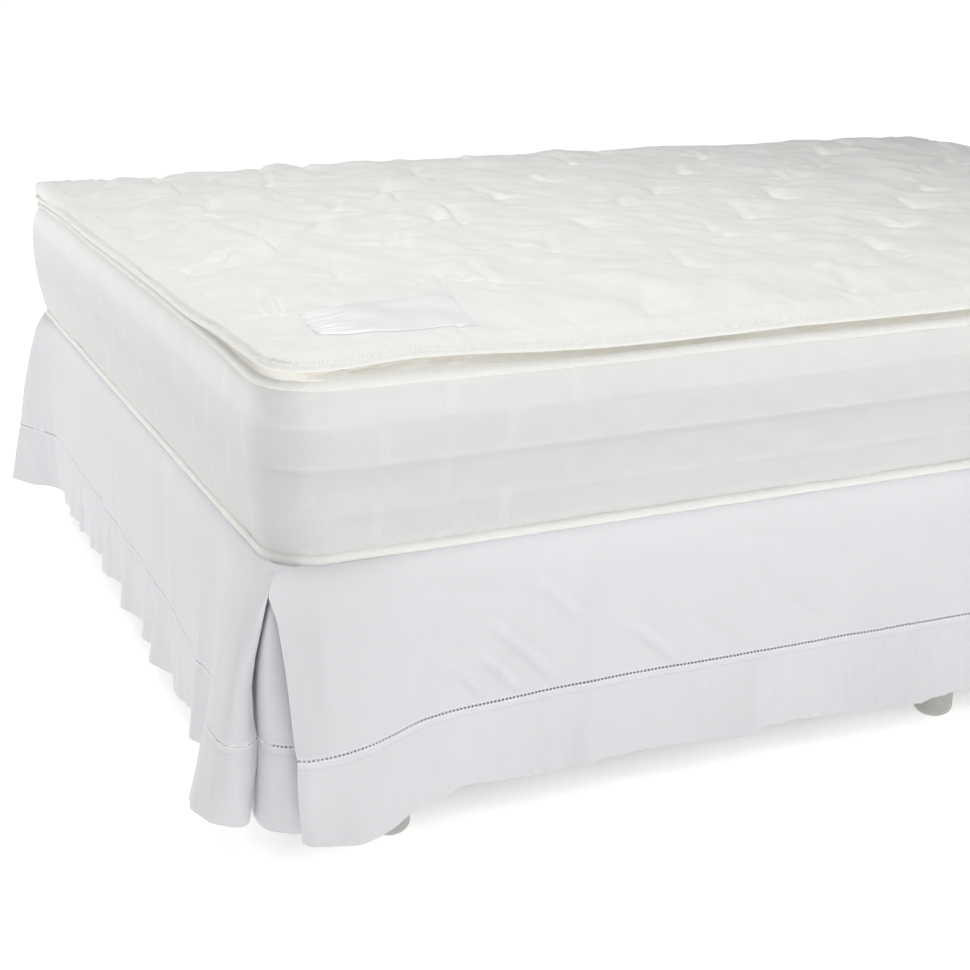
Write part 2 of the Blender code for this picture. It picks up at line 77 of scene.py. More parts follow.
# Skirt cloth
CLOTH_THICK = 0.0008
HEM_THICK = 0.0014
HEM_PROUD = 0.0003
DECK_CLOTH_DROP = 0.0003
PANEL_TOP_DROP = 0.0008
PANEL_TOP_OUT = 0.0023
EDGE_ROLL = 0.003
EDGE_ROLL_DEPTH = 0.004
SKIRT_DROP = 0.325
STITCH_DROP = 0.215
LADDER_HEIGHT = 0.0026
LADDER_PITCH = 0.0054
BAR_WIDTH = 0.0031
BAR_WAIST = 0.0026
BAR_LIFT = -0.0004
BAR_HIDDEN = 0.0006
SHARE_STEPS = 1500
SEAM_BELOW = 0.0095
SEAM_GROOVE = 0.0006
FLARE_RISE = 0.48
HOLLOW_RISE = 1.0
KICK_RISE = 3.0
SLIT_REACH = 0.030
UNDERLAY_TOP_DROP = 0.0018
UNDERLAY_PUFF = 0.010
UNDERLAY_SET_BACK = 0.0010
TOP_ROWS = (0.0, 0.001, 0.003, 0.006, 0.010)
SEAM_ROWS = np.array((-0.0022, -0.0011, 0.0, 0.0011, 0.0022))
RELIEF_GROWS = (0.004, 0.03)
# Rows of cloth that lie on the deck behind a panel's top edge: distance back, and depth.
TURNED_OVER = ((0.0060, 0.0), (0.0034, 0.0), (0.0020, 0.00015))
# Flat lengths of the foot panel and a side panel
FOOT_FLAT = 1.65
SIDE_FLAT = 2.11

# Mattress. Corner radii go anticlockwise from the far head corner.
BODY_LOW = 0.0003
CORNERS_LOW = (0.065, 0.035, 0.065, 0.065)
CORNERS_HIGH = (0.085, 0.016, 0.090, 0.085)
PILLOW_CORNERS = (0.085, 0.016, 0.044, 0.085)
BODY_BULGE = 0.0055
FOOT_BULGE = 0.009
FOOT_IN = 0.003
SHOULDER_FROM = 0.78
SHOULDER_IN = 0.008
QUILT_LINES = ((0.056, 0.0006), (0.113, 0.0015), (0.163, 0.0007))
QUILT_WIDTH = 0.0022
BORDER_WAVES = ((0.0016, 0.120, 0.070, 21), (0.0009, 0.028, 0.022, 26))
CORD_OUT = -0.0065
CORD_RADIUS = 0.0064
PILLOW_TAPE_RADIUS = 0.0052
PILLOW_TAPE_OUT = -0.0020
PILLOW_EDGE_OUT = -0.0028
PILLOW_TOP = 0.2535
PILLOW_MIDDLE = 0.0175
CROWN_REACH = 0.024
CORNER_TIGHTER = 0.0195
CORNER_BULGE = 0.006
CORNER_LIFT = 0.017
TUFT_PITCH_X = 0.305
TUFT_PITCH_Y = 0.165
TUFT_START_X = 0.060
TUFT_START_Y = 0.055
TUFT_DEPTH = 0.013
TUFT_REACH = 0.026
# Pleats from a tuft: degrees, length and depth, or the limits that these are drawn from.
LONG_SPOKES = ((72.0, 0.105, 0.0034), (-50.0, 0.052, 0.0028))
FREE_SPOKE = ((100, 290), (0.035, 0.075), (0.0012, 0.0026))
FOOT_SPOKE = ((-30, 50), (0.035, 0.065), (0.0010, 0.0022))
STREWN_PLEATS = 260
TOP_WAVES = ((0.0050, 0.075, 0.075, 32), (0.0024, 0.030, 0.034, 33))
LABEL_CORNERS = ((0.0855, 0.074), (0.276, 0.048), (0.2895, 0.180), (0.0955, 0.178))
LABEL_SIZE = (0.193, 0.118)
BLOCK_PITCH_ALONG = 0.0825
BLOCK_PITCH_UP = 0.093
# The bottom tape's section, anticlockwise. Columns: outward, height.
BOTTOM_TAPE_SECTION = (
    (-0.0050, -0.0003),
    (0.0006, -0.0003),
    (0.0012, -0.0001),
    (0.0016, 0.0009),
    (0.0022, 0.0070),
    (0.0014, 0.0095),
    (0.0002, 0.0116),
    (-0.0010, 0.0125),
    (-0.0040, 0.0125),
)

# A foot: a flat underside, a rounded glide, and this profile above. Columns: radius, height.
FOOT_RADIUS = 0.028
GLIDE_ROUND = 0.015
FOOT_PROFILE = (
    (0.0280, 0.0400),
    (0.0274, 0.0410),
    (0.0274, 0.0425),
    (0.0280, 0.0435),
    (0.0280, 0.1120),
    (0.0270, 0.1135),
    (0.0270, 0.1180),
    (0.0280, 0.1195),
    (0.0280, 0.1297),
)

# Folds of a hanging panel, a row for each ridge and hollow. Columns: along the bed edge at the top; then
# along and outward at the stitch line; then along and outward at the hem.
FOOT_FOLDS = (
    (0.001, 0.018, 0.025, 0.038, 0.035),
    (0.012, 0.006, 0.038, 0.019, 0.044),
    (0.028, 0.007, 0.055, 0.015, 0.057),
    (0.048, 0.023, 0.066, 0.030, 0.076),
    (0.072, 0.048, 0.070, 0.056, 0.088),
    (0.098, 0.080, 0.069, 0.087, 0.0935),
    (0.128, 0.118, 0.058, 0.125, 0.080),
    (0.165, 0.160, 0.040, 0.165, 0.052),
    (0.205, 0.202, 0.028, 0.205, 0.034),
    (0.240, 0.240, 0.029, 0.240, 0.036),
    (0.270, 0.272, 0.033, 0.270, 0.048),
    (0.305, 0.306, 0.029, 0.302, 0.034),
    (0.350, 0.350, 0.025, 0.350, 0.022),
    (0.395, 0.395, 0.023, 0.395, 0.031),
    (0.432, 0.432, 0.021, 0.432, 0.029),
    (0.475, 0.475, 0.018, 0.475, 0.018),
    (0.532, 0.532, 0.018, 0.532, 0.040),
    (0.585, 0.585, 0.017, 0.585, 0.021),
    (0.628, 0.628, 0.018, 0.628, 0.030),
    (0.690, 0.690, 0.014, 0.690, 0.014),
    (0.760, 0.760, 0.017, 0.760, 0.032),
    (0.812, 0.812, 0.014, 0.812, 0.018),
    (0.864, 0.864, 0.014, 0.864, 0.012),
    (0.930, 0.930, 0.018, 0.930, 0.028),
    (0.995, 0.995, 0.013, 0.995, 0.012),
    (1.062, 1.062, 0.016, 1.062, 0.026),
    (1.115, 1.115, 0.014, 1.115, 0.014),
    (1.165, 1.165, 0.016, 1.165, 0.024),
    (1.200, 1.200, 0.014, 1.200, 0.016),
    (1.242, 1.242, 0.015, 1.242, 0.025),
    (1.285, 1.285, 0.013, 1.285, 0.016),
    (1.322, 1.322, 0.014, 1.322, 0.020),
    (1.362, 1.362, 0.014, 1.365, 0.012),
    (1.398, 1.400, 0.017, 1.404, 0.013),
    (1.425, 1.434, 0.028, 1.434, 0.027),
    (1.452, 1.466, 0.044, 1.462, 0.057),
    (1.476, 1.492, 0.056, 1.490, 0.073),
    (1.496, 1.512, 0.063, 1.514, 0.085),
    (1.510, 1.530, 0.062, 1.536, 0.083),
    (1.518, 1.544, 0.050, 1.550, 0.068),
    (1.523, 1.545, 0.036, 1.550, 0.050),
)
SIDE_FOLDS = (
    (0.001, 0.002, 0.057, 0.006, 0.052),
    (0.008, 0.014, 0.062, 0.012, 0.066),
    (0.020, 0.030, 0.064, 0.028, 0.075),
    (0.038, 0.047, 0.063, 0.048, 0.080),
    (0.060, 0.067, 0.060, 0.068, 0.084),
    (0.086, 0.092, 0.054, 0.092, 0.076),
    (0.112, 0.117, 0.043, 0.118, 0.062),
    (0.140, 0.142, 0.030, 0.145, 0.041),
    (0.170, 0.170, 0.017, 0.173, 0.028),
    (0.202, 0.202, 0.009, 0.207, 0.013),
    (0.232, 0.232, 0.004, 0.232, -0.001),
    (0.262, 0.262, 0.002, 0.262, 0.002),
    (0.300, 0.300, 0.000, 0.298, 0.006),
    (0.342, 0.342, -0.002, 0.342, 0.009),
    (0.378, 0.378, -0.003, 0.376, 0.008),
    (0.402, 0.402, -0.003, 0.398, 0.017),
    (0.424, 0.424, -0.003, 0.424, 0.005),
    (0.480, 0.480, -0.004, 0.480, 0.004),
    (0.535, 0.535, -0.003, 0.535, 0.006),
    (0.580, 0.580, -0.001, 0.580, 0.013),
    (0.618, 0.618, 0.000, 0.618, 0.018),
    (0.648, 0.648, 0.001, 0.646, 0.024),
    (0.675, 0.675, 0.001, 0.672, 0.011),
    (0.735, 0.735, 0.002, 0.735, 0.010),
    (0.785, 0.785, 0.003, 0.785, 0.015),
    (0.845, 0.845, 0.005, 0.845, 0.031),
    (0.905, 0.905, 0.007, 0.905, 0.034),
    (0.975, 0.975, 0.008, 0.975, 0.026),
    (1.030, 1.030, 0.009, 1.030, 0.027),
    (1.110, 1.110, 0.007, 1.110, 0.015),
    (1.190, 1.190, 0.007, 1.190, 0.024),
    (1.275, 1.275, 0.005, 1.275, 0.013),
    (1.360, 1.360, 0.006, 1.360, 0.022),
    (1.445, 1.445, 0.004, 1.445, 0.011),
    (1.535, 1.535, 0.005, 1.535, 0.020),
    (1.620, 1.620, 0.003, 1.620, 0.010),
    (1.710, 1.710, 0.005, 1.710, 0.018),
    (1.800, 1.800, 0.003, 1.800, 0.010),
    (1.890, 1.890, 0.004, 1.890, 0.016),
    (1.965, 1.965, 0.003, 1.965, 0.010),
    (2.030, 2.030, 0.003, 2.030, 0.011),
)

# Soft noise on the panels. Columns: height, size of a lump along the bed and down the cloth, seed.
SIDE_WAVES = ((0.0010, 0.050, 0.110, 3), (0.0005, 0.014, 0.060, 5))
SIDE_HEM_WAVES = ((0.0016, 0.030, 0.150, 4),)
FOOT_WAVES = ((0.0016, 0.022, 0.400, 6), (0.0008, 0.009, 0.250, 7))
FOOT_HEM_WAVES = ((0.0024, 0.019, 0.300, 8),)

# Edge of a panel along the corner slit, a row for each depth. Columns: depth, along from the panel's own
# corner, outward.
FOOT_SLIT = (
    (0.000, -0.0023, PANEL_TOP_OUT),
    (0.012, -0.0056, 0.0078),
    (0.025, -0.0080, 0.0112),
    (0.036, -0.0050, 0.0135),
    (0.066, 0.0023, 0.0180),
    (0.104, 0.0070, 0.0260),
    (0.142, 0.0114, 0.0310),
    (0.187, 0.0166, 0.0290),
    (0.217, 0.0203, 0.0243),
    (0.252, 0.0247, 0.0260),
    (0.284, 0.0290, 0.0300),
    (0.325, 0.0340, 0.0350),
)
FOOT_FAR_SLIT = (
    (0.000, 0.001, PANEL_TOP_OUT),
    (0.025, -0.0015, 0.0104),
    (0.066, -0.0040, 0.0180),
    (0.142, -0.0140, 0.0290),
    (0.217, -0.0210, 0.0360),
    (0.325, -0.0260, 0.0500),
)
SIDE_SLIT = (
    (0.000, -0.0023, PANEL_TOP_OUT),
    (0.012, -0.0078, 0.0056),
    (0.025, -0.0112, 0.0080),
    (0.036, -0.0085, 0.0105),
    (0.055, -0.0036, 0.0145),
    (0.109, -0.0005, 0.0290),
    (0.143, 0.0002, 0.0380),
    (0.200, 0.0000, 0.0530),
    (0.215, 0.0020, 0.0570),
    (0.249, 0.0010, 0.0554),
    (0.325, 0.0060, 0.0520),
)

# Corner underlay in plan from the foot end round to the long side, a row for each section. Columns: x, y at
# the top; x, y at the stitch line; x, y at the hem, outward negative.
UNDERLAY_SECTIONS = (
    (0.0006, 0.130, -0.004, 0.130, -0.005, 0.130),
    (0.0006, 0.096, -0.008, 0.096, -0.010, 0.098),
    (0.0006, 0.065, -0.016, 0.064, -0.021, 0.070),
    (0.0006, 0.034, -0.0225, 0.034, -0.0290, 0.045),
    (0.0006, 0.010, -0.0222, 0.014, -0.0305, 0.019),
    (0.0010, 0.001, -0.0165, -0.0040, -0.0250, -0.0090),
    (0.0100, 0.0006, -0.0045, -0.0165, -0.0085, -0.0250),
    (0.034, 0.0006, 0.0100, -0.0220, 0.0100, -0.0330),
    (0.065, 0.0006, 0.0480, -0.0210, 0.0460, -0.0320),
    (0.096, 0.0006, 0.0960, -0.0120, 0.0960, -0.0190),
    (0.130, 0.0006, 0.1300, -0.0050, 0.1300, -0.0070),
)

# Creases of the side panel. Columns: along and depth of the start, along and depth of the end, width, height
# (below zero is a trough).
SIDE_CREASES = (
    (0.262, 0.098, 0.372, 0.212, 0.0060, -0.0058),
    (0.274, 0.096, 0.386, 0.208, 0.0060, 0.0019),
    (0.250, 0.140, 0.312, 0.210, 0.0055, -0.0051),
    (0.262, 0.138, 0.326, 0.208, 0.0055, 0.0015),
    (0.212, 0.144, 0.262, 0.210, 0.0050, -0.0043),
    (0.330, 0.056, 0.404, 0.132, 0.0060, -0.0043),
    (0.344, 0.054, 0.420, 0.130, 0.0070, 0.0015),
    (0.458, 0.136, 0.546, 0.212, 0.0060, -0.0046),
    (0.470, 0.132, 0.560, 0.210, 0.0065, 0.0015),
    (0.560, 0.150, 0.640, 0.205, 0.0070, 0.0014),
    (0.700, 0.140, 0.790, 0.208, 0.0080, 0.0014),
    (0.150, 0.040, 0.330, 0.075, 0.0120, 0.0015),
    (0.560, 0.030, 0.760, 0.070, 0.0120, 0.0014),
    (1.060, 0.110, 1.150, 0.200, 0.0080, 0.0015),
    (1.380, 0.090, 1.300, 0.200, 0.0080, 0.0015),
    (1.620, 0.060, 1.720, 0.190, 0.0090, 0.0015),
    (1.900, 0.120, 1.840, 0.205, 0.0080, 0.0014),
)
# Short leaning puckers in the side panel's hem. Columns: along, width, height.
PUCKER_LEAN = 0.06
SIDE_HEM_PUCKERS = (
    (0.352, 0.0060, 0.0022),
    (0.372, 0.0050, -0.0020),
    (0.560, 0.0060, 0.0018),
    (0.590, 0.0060, -0.0016),
    (0.700, 0.0055, 0.0020),
    (0.722, 0.0050, -0.0018),
    (0.782, 0.0050, 0.0022),
    (0.803, 0.0045, -0.0026),
    (0.824, 0.0050, 0.0026),
    (0.846, 0.0045, -0.0028),
    (0.868, 0.0050, 0.0024),
    (0.893, 0.0050, -0.0026),
    (0.915, 0.0045, 0.0028),
    (0.938, 0.0050, -0.0024),
    (0.960, 0.0050, 0.0026),
    (0.985, 0.0050, -0.0026),
    (1.010, 0.0060, 0.0022),
)

# Height round the mattress's rim of the border cord's middle line, then of the pillow edge tape's. Columns:
# place from the near foot corner, above zero on the near side and below zero on the foot side; height.
CORD_HEIGHTS = (
    (-1.520, 0.2085),
    (-1.400, 0.2140),
    (-1.230, 0.2185),
    (-1.050, 0.2160),
    (-0.884, 0.2180),
    (-0.740, 0.2200),
    (-0.540, 0.2210),
    (-0.370, 0.2190),
    (-0.220, 0.2185),
    (-0.107, 0.2135),
    (0.000, 0.2130),
    (0.037, 0.2135),
    (0.084, 0.2125),
    (0.180, 0.2132),
    (0.256, 0.2115),
    (0.333, 0.2095),
    (0.413, 0.2080),
    (0.551, 0.2088),
    (0.697, 0.2086),
    (0.852, 0.2070),
    (1.200, 0.2080),
)
TAPE_HEIGHTS = (
    (-1.520, 0.2225),
    (-1.400, 0.2270),
    (-1.230, 0.2308),
    (-1.050, 0.2283),
    (-0.884, 0.2303),
    (-0.740, 0.2323),
    (-0.540, 0.2333),
    (-0.370, 0.2320),
    (-0.290, 0.2350),
    (-0.220, 0.2400),
    (-0.107, 0.2410),
    (-0.045, 0.2440),
    (0.000, 0.2400),
    (0.037, 0.2367),
    (0.084, 0.2345),
    (0.132, 0.2385),
    (0.181, 0.2410),
    (0.256, 0.2378),
    (0.333, 0.2329),
    (0.413, 0.2290),
    (0.551, 0.2282),
    (0.697, 0.2305),
    (0.852, 0.2290),
    (1.200, 0.2295),
)
# Size of the cord, and how far the pillow top's side is sunk in, by place round the rim.
CORD_SWELLS = ((-0.20, 1.0), (-0.05, 1.20), (0.06, 1.50), (0.25, 1.40), (0.36, 1.0))
GUSSET_INSETS = (
    (-0.32, 0.007),
    (-0.22, 0.009),
    (-0.05, 0.010),
    (-0.01, 0.008),
    (0.01, 0.004),
    (0.05, 0.004),
    (0.10, 0.008),
    (0.22, 0.011),
    (0.32, 0.012),
)

# The pillow top's larger pleats. Columns: plan of the start and of the end, width, depth.
TOP_PLEATS = (
    (0.088, 1.360, 0.155, 1.470, 0.010, 0.0091),
    (0.120, 1.300, 0.178, 1.190, 0.008, 0.0065),
    (0.212, 1.290, 0.199, 1.170, 0.008, 0.0062),
    (0.090, 1.110, 0.172, 1.170, 0.009, 0.0081),
    (0.096, 0.835, 0.212, 1.040, 0.013, 0.0120),
    (0.146, 0.945, 0.192, 0.885, 0.007, 0.0055),
    (0.240, 1.240, 0.300, 1.360, 0.010, 0.0083),
    (0.290, 1.340, 0.360, 1.370, 0.009, 0.0073),
    (0.256, 1.010, 0.340, 1.080, 0.009, 0.0083),
    (0.304, 0.990, 0.362, 1.070, 0.011, 0.0062),
    (0.090, 0.548, 0.140, 0.626, 0.009, 0.0073),
    (0.136, 0.615, 0.190, 0.605, 0.008, 0.0077),
    (0.208, 0.710, 0.188, 0.540, 0.009, 0.0081),
    (0.160, 0.680, 0.204, 0.655, 0.007, 0.0047),
    (0.264, 0.700, 0.366, 0.835, 0.015, 0.0101),
    (0.380, 1.380, 0.485, 1.490, 0.011, 0.0091),
    (0.092, 0.288, 0.089, 0.195, 0.006, 0.0036),
    (0.020, 0.650, 0.014, 0.530, 0.008, 0.0047),
    (0.006, 0.310, 0.009, 0.190, 0.006, 0.0040),
    (0.460, 0.945, 0.524, 1.000, 0.009, 0.0065),
    (0.524, 1.000, 0.496, 0.885, 0.009, 0.0065),
    (0.552, 0.815, 0.500, 0.612, 0.011, 0.0081),
    (0.612, 1.070, 0.674, 1.130, 0.008, 0.0062),
    (0.820, 1.070, 0.845, 0.985, 0.009, 0.0059),
    (0.298, 0.300, 0.294, 0.262, 0.006, 0.0036),
    (0.332, 0.308, 0.304, 0.222, 0.006, 0.0047),
    (0.349, 0.292, 0.341, 0.240, 0.006, 0.0036),
)


# ------------------------------------------------------------------------------ shape helpers
def bed(x, y, height):
    """Points given on the bed's plan and above the deck, in the model's frame."""
    return np.stack(np.broadcast_arrays(x, y, height), axis=-1) + CORNER


def spline(rows, t):
    """Rows of numbers at t, from 0 to 1, on a smooth curve through the rows."""
    rows = np.array(rows)
    spans = len(rows) - 1
    span = np.clip((t * spans).astype(int), 0, spans - 1)
    f = (t * spans - span)[..., None]
    a, b, c, d = (rows[np.clip(span + step, 0, spans)] for step in (-1, 0, 1, 2))
    return b + 0.5 * f * (c - a + f * (2 * a - 5 * b + 4 * c - d + f * (3 * b - a - 3 * c + d)))


def soft_noise(x, y, seed):
    """Smooth uneven heights between -1 and 1 with lumps about one unit apart."""
    size = 64
    lattice = np.random.default_rng(seed).uniform(-1, 1, (size, size))
    i, j = np.floor(x).astype(int), np.floor(y).astype(int)
    f, g = x - i, y - j
    f, g = f * f * (3 - 2 * f), g * g * (3 - 2 * g)
    low = lattice[i % size, j % size] * (1 - f) + lattice[(i + 1) % size, j % size] * f
    high = lattice[i % size, (j + 1) % size] * (1 - f) + lattice[(i + 1) % size, (j + 1) % size] * f
    return low * (1 - g) + high * g


def hump(distance, width):
    return np.exp(-((distance / width) ** 2))


def smooth_step(value, low, high):
    share = np.clip((value - low) / (high - low), 0.0, 1.0)
    return share * share * (3 - 2 * share)


def waves(rows, x, y):
    """Sum of layers of soft noise. Columns: height, size of a lump in x and in y, seed."""
    return sum(height * soft_noise(x / size_x, y / size_y, seed) for height, size_x, size_y, seed in rows)


def line_place(x, y, x0, y0, x1, y1):
    """A line's length, and where points lie by it: their share along it and distance to its right."""
    length = math.hypot(x1 - x0, y1 - y0)
    share = ((x - x0) * (x1 - x0) + (y - y0) * (y1 - y0)) / length**2
    return length, share, ((x - x0) * (y1 - y0) - (y - y0) * (x1 - x0)) / length


def creases(rows, x, y):
    """Height of soft creases that taper at both ends. Columns: start x, y, end x, y, width, height."""
    height = np.zeros(np.broadcast(x, y).shape)
    for *line, width, rise in rows:
        _, share, across = line_place(x, y, *line)
        height = height + rise * np.sin(np.pi * np.clip(share, 0.0, 1.0)) * hump(across, width)
    return height


def even_shares(points, count):
    """Shares of a curve's parameter that cut the curve into equal lengths."""
    steps = np.linalg.norm(np.diff(points, axis=0), axis=1)
    run = np.concatenate(([0.0], np.cumsum(steps)))
    return np.interp(np.linspace(0.0, run[-1], count), run, np.linspace(0.0, 1.0, len(points))), run[-1]


def grid_faces(rows, columns, ring=False):
    """Quads of a grid of points, rows first. A ring joins the last column to the first."""
    r, c = np.meshgrid(np.arange(rows - 1), np.arange(columns if ring else columns - 1), indexing="ij")
    after = (c + 1) % columns
    quads = (r * columns + c, r * columns + after, (r + 1) * columns + after, (r + 1) * columns + c)
    return np.stack(quads, axis=-1).reshape(-1, 4)


def grid_edge(rows, columns):
    """Numbers of a grid's outer points, once round."""
    last = rows * columns - 1
    return np.concatenate((
        np.arange(columns),
        columns - 1 + columns * np.arange(1, rows),
        last - 1 - np.arange(columns - 1),
        last + 1 - 2 * columns - columns * np.arange(rows - 2),
    ))


def unit(vectors):
    return vectors / np.linalg.norm(vectors, axis=-1, keepdims=True)


def shell(grid, plan, thickness, outward):
    """A closed thin sheet from a grid of points on its outer face. Plan holds each point's place on the flat
    cloth, and outward is +1 or -1, the sign that turns the grid's own normals outward."""
    rows, columns = grid.shape[:2]
    normals = unit(np.cross(np.gradient(grid, axis=1), np.gradient(grid, axis=0)))
    back = grid - outward * thickness * normals
    points = np.concatenate((grid.reshape(-1, 3), back.reshape(-1, 3)))
    flat = np.concatenate((plan.reshape(-1, 2), plan.reshape(-1, 2)))
    size = rows * columns
    front = grid_faces(rows, columns)
    edge = grid_edge(rows, columns)
    after = np.roll(edge, -1)
    rim = np.stack((after, edge, edge + size, after + size), axis=-1)
    faces = np.concatenate((front, front[:, ::-1] + size, rim))
    return points, faces if outward > 0 else faces[:, ::-1], flat


def ring_solid(sections, plan):
    """A closed body of stacked rings, bottom up and anticlockwise from above."""
    rows, columns = sections.shape[:2]
    faces = [tuple(face) for face in grid_faces(rows, columns, ring=True)]
    faces.append(tuple(range(columns - 1, -1, -1)))
    faces.append(tuple(range((rows - 1) * columns, rows * columns)))
    return sections.reshape(-1, 3), faces, plan.reshape(-1, 2)


def joined(parts):
    """Several (points, faces, plan) as one."""
    points, faces, plans, start = [], [], [], 0
    for part_points, part_faces, part_plan in parts:
        points.append(part_points)
        plans.append(part_plan)
        faces += [tuple(int(v) + start for v in face) for face in part_faces]
        start += len(part_points)
    return np.concatenate(points), faces, np.concatenate(plans)


def piece(name, shape, finish, smooth_degrees=60):
    """An object from (points, faces, plan). The plan becomes its texture map, in metres."""
    points, faces, plan = shape
    mesh = bpy.data.meshes.new(name)
    mesh.from_pydata(np.asarray(points).tolist(), [], [tuple(int(v) for v in face) for face in faces])
    layer = mesh.uv_layers.new(name="cloth")
    corners = np.zeros(len(mesh.loops), dtype=np.int32)
    mesh.loops.foreach_get("vertex_index", corners)
    layer.data.foreach_set("uv", np.asarray(plan)[corners].astype(np.float32).ravel())
    mesh.materials.append(finish)
    mesh.shade_smooth()
    mesh.set_sharp_from_angle(angle=math.radians(smooth_degrees))
    made = bpy.data.objects.new(name, mesh)
    bpy.context.scene.collection.objects.link(made)
    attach(made, "root")
    return made


def threads(starts, ends, outs, radius, waist=1.0):
    """Short four-sided threads from starts to ends, slimmer at both ends. Waist is their size in the middle
    as a share of radius, and outs are the directions that one edge of each points in."""
    along = unit(ends - starts)
    side = unit(np.cross(along, outs))
    up = np.cross(side, along)
    corners = (side, up, -side, -up)
    rings = []
    for share, size in ((0.0, 0.75), (0.25, 1.0), (0.5, waist), (0.75, 1.0), (1.0, 0.75)):
        centre = starts + share * (ends - starts)
        rings.append(np.stack([centre + radius * size * corner for corner in corners], axis=1))
    points = np.stack(rings, axis=1)
    count, levels, sides = points.shape[:3]
    ends_closed = np.array((range(sides - 1, -1, -1), range((levels - 1) * sides, levels * sides)))
    one = np.concatenate((grid_faces(levels, sides, ring=True), ends_closed))
    faces = (one[None] + (levels * sides * np.arange(count))[:, None, None]).reshape(-1, 4)
    flat = np.repeat(starts[:, :2], levels * sides, axis=0)
    return points.reshape(-1, 3), faces, flat


# ------------------------------------------------------------------------------ materials
def node(tree, kind, inputs=(), **settings):
    """A shader node. Inputs are (socket, value or (node, output)) pairs, and settings its properties."""
    made = tree.nodes.new("ShaderNode" + kind)
    for key, value in settings.items():
        setattr(made, key, value)
    for socket, value in inputs:
        if isinstance(value, tuple) and isinstance(value[0], bpy.types.Node):
            tree.links.new(value[0].outputs[value[1]], made.inputs[socket])
        else:
            made.inputs[socket].default_value = value
    return made


def calc(tree, operation, *values):
    """A Math node's output."""
    return node(tree, "Math", enumerate(values), operation=operation), 0


def plus(tree, first, second):
    return calc(tree, "ADD", first, second)


def times(tree, first, second):
    return calc(tree, "MULTIPLY", first, second)


def ranged(tree, value, start, end, low=0.0, high=1.0, kind="SMOOTHSTEP"):
    """A value that goes from low at start to high at end and stays level outside them."""
    inputs = zip(("Value", "From Min", "From Max", "To Min", "To Max"), (value, start, end, low, high))
    return node(tree, "MapRange", inputs, interpolation_type=kind), "Result"


def finish_material(name, colour, roughness, sheen=0.0, specular=0.3):
    made = bpy.data.materials.new(name)
    made.use_nodes = True
    tree = made.node_tree
    shader = tree.nodes["Principled BSDF"]
    shader.inputs["Base Color"].default_value = (*colour, 1.0)
    shader.inputs["Roughness"].default_value = roughness
    shader.inputs["Specular IOR Level"].default_value = specular
    shader.inputs["Sheen Weight"].default_value = sheen
    shader.inputs["Sheen Roughness"].default_value = 0.5
    return made, tree, shader


def cloth_place(tree):
    """(along, down) on the flat cloth in metres."""
    parts = node(tree, "SeparateXYZ", [(0, (node(tree, "TexCoord"), "UV"))])
    return (parts, 0), (parts, 1)


def weave(tree, place, pitch):
    """Height of a plain weave: over and under threads of one pitch."""
    turns = [calc(tree, "SINE", times(tree, value, math.pi / pitch)) for value in place]
    return calc(tree, "ABSOLUTE", times(tree, *turns))


def mottle(tree, vector, scale, detail=3.0, roughness=0.5):
    return node(tree, "TexNoise", [("Vector", vector), ("Scale", scale), ("Detail", detail),
                                   ("Roughness", roughness)]), "Fac"


def patches(tree, place, along_scale, down_scale, detail=3.0, roughness=0.5):
    """Noise on the cloth, with so many lumps a metre along it and down it."""
    scaled = [times(tree, value, scale) for value, scale in zip(place, (along_scale, down_scale))]
    return mottle(tree, (node(tree, "CombineXYZ", enumerate(scaled)), 0), 1.0, detail, roughness)


def shade_between(tree, shader, factor, low, high):
    """Base colour that goes from low at a factor of 0.3 to high at 0.7."""
    ramp = node(tree, "ValToRGB", [("Fac", factor)])
    for element, position, colour in zip(ramp.color_ramp.elements, (0.3, 0.7), (low, high)):
        element.position = position
        element.color = (*colour, 1.0)
    tree.links.new(ramp.outputs["Color"], shader.inputs["Base Color"])


def raise_surface(tree, shader, layers):
    """Bumps chained from (height, distance in metres, strength) layers."""
    before = None
    for height, distance, strength in layers:
        inputs = [("Height", height), ("Distance", distance), ("Strength", strength)]
        if before is not None:
            inputs.append(("Normal", (before, "Normal")))
        before = node(tree, "Bump", inputs)
    tree.links.new(before.outputs["Normal"], shader.inputs["Normal"])


def skirt_material():
    """Woven cotton with slubs and the soft ripple of washed cloth, paler at the hemstitch, with a painted
    highlight down from the top edge, where the cloth turns over the deck and faces up to the light.
    """
    made, tree, shader = finish_material("skirt_cotton", (0.80, 0.79, 0.82), 0.85, sheen=0.15, specular=0.2)
    place = cloth_place(tree)
    slubs = plus(tree, patches(tree, place, 900.0, 25.0, 2.0), patches(tree, place, 25.0, 900.0, 2.0))
    ripple = patches(tree, place, 60.0, 22.0, 4.0)
    from_ladder = calc(tree, "ABSOLUTE", calc(tree, "SUBTRACT", place[1], STITCH_DROP))
    stitched = ranged(tree, from_ladder, 0.0046, 0.0026, 0.0, 0.25, kind="LINEAR")
    # Painted highlight: the cloth is paler for 75 mm down from its top edge.
    painted_top_highlight = ranged(tree, place[1], 0.075, 0.0, 0.35, 0.48)
    pale = plus(tree, plus(tree, stitched, painted_top_highlight), times(tree, ripple, 0.1))
    shade_between(tree, shader, pale, (0.745, 0.740, 0.765), (0.865, 0.860, 0.885))
    raise_surface(tree, shader, [
        (ripple, 0.0009, 0.25),
        (slubs, 0.0003, 0.25),
        (weave(tree, place, 0.0005), 0.0002, 0.35),
    ])
    return made


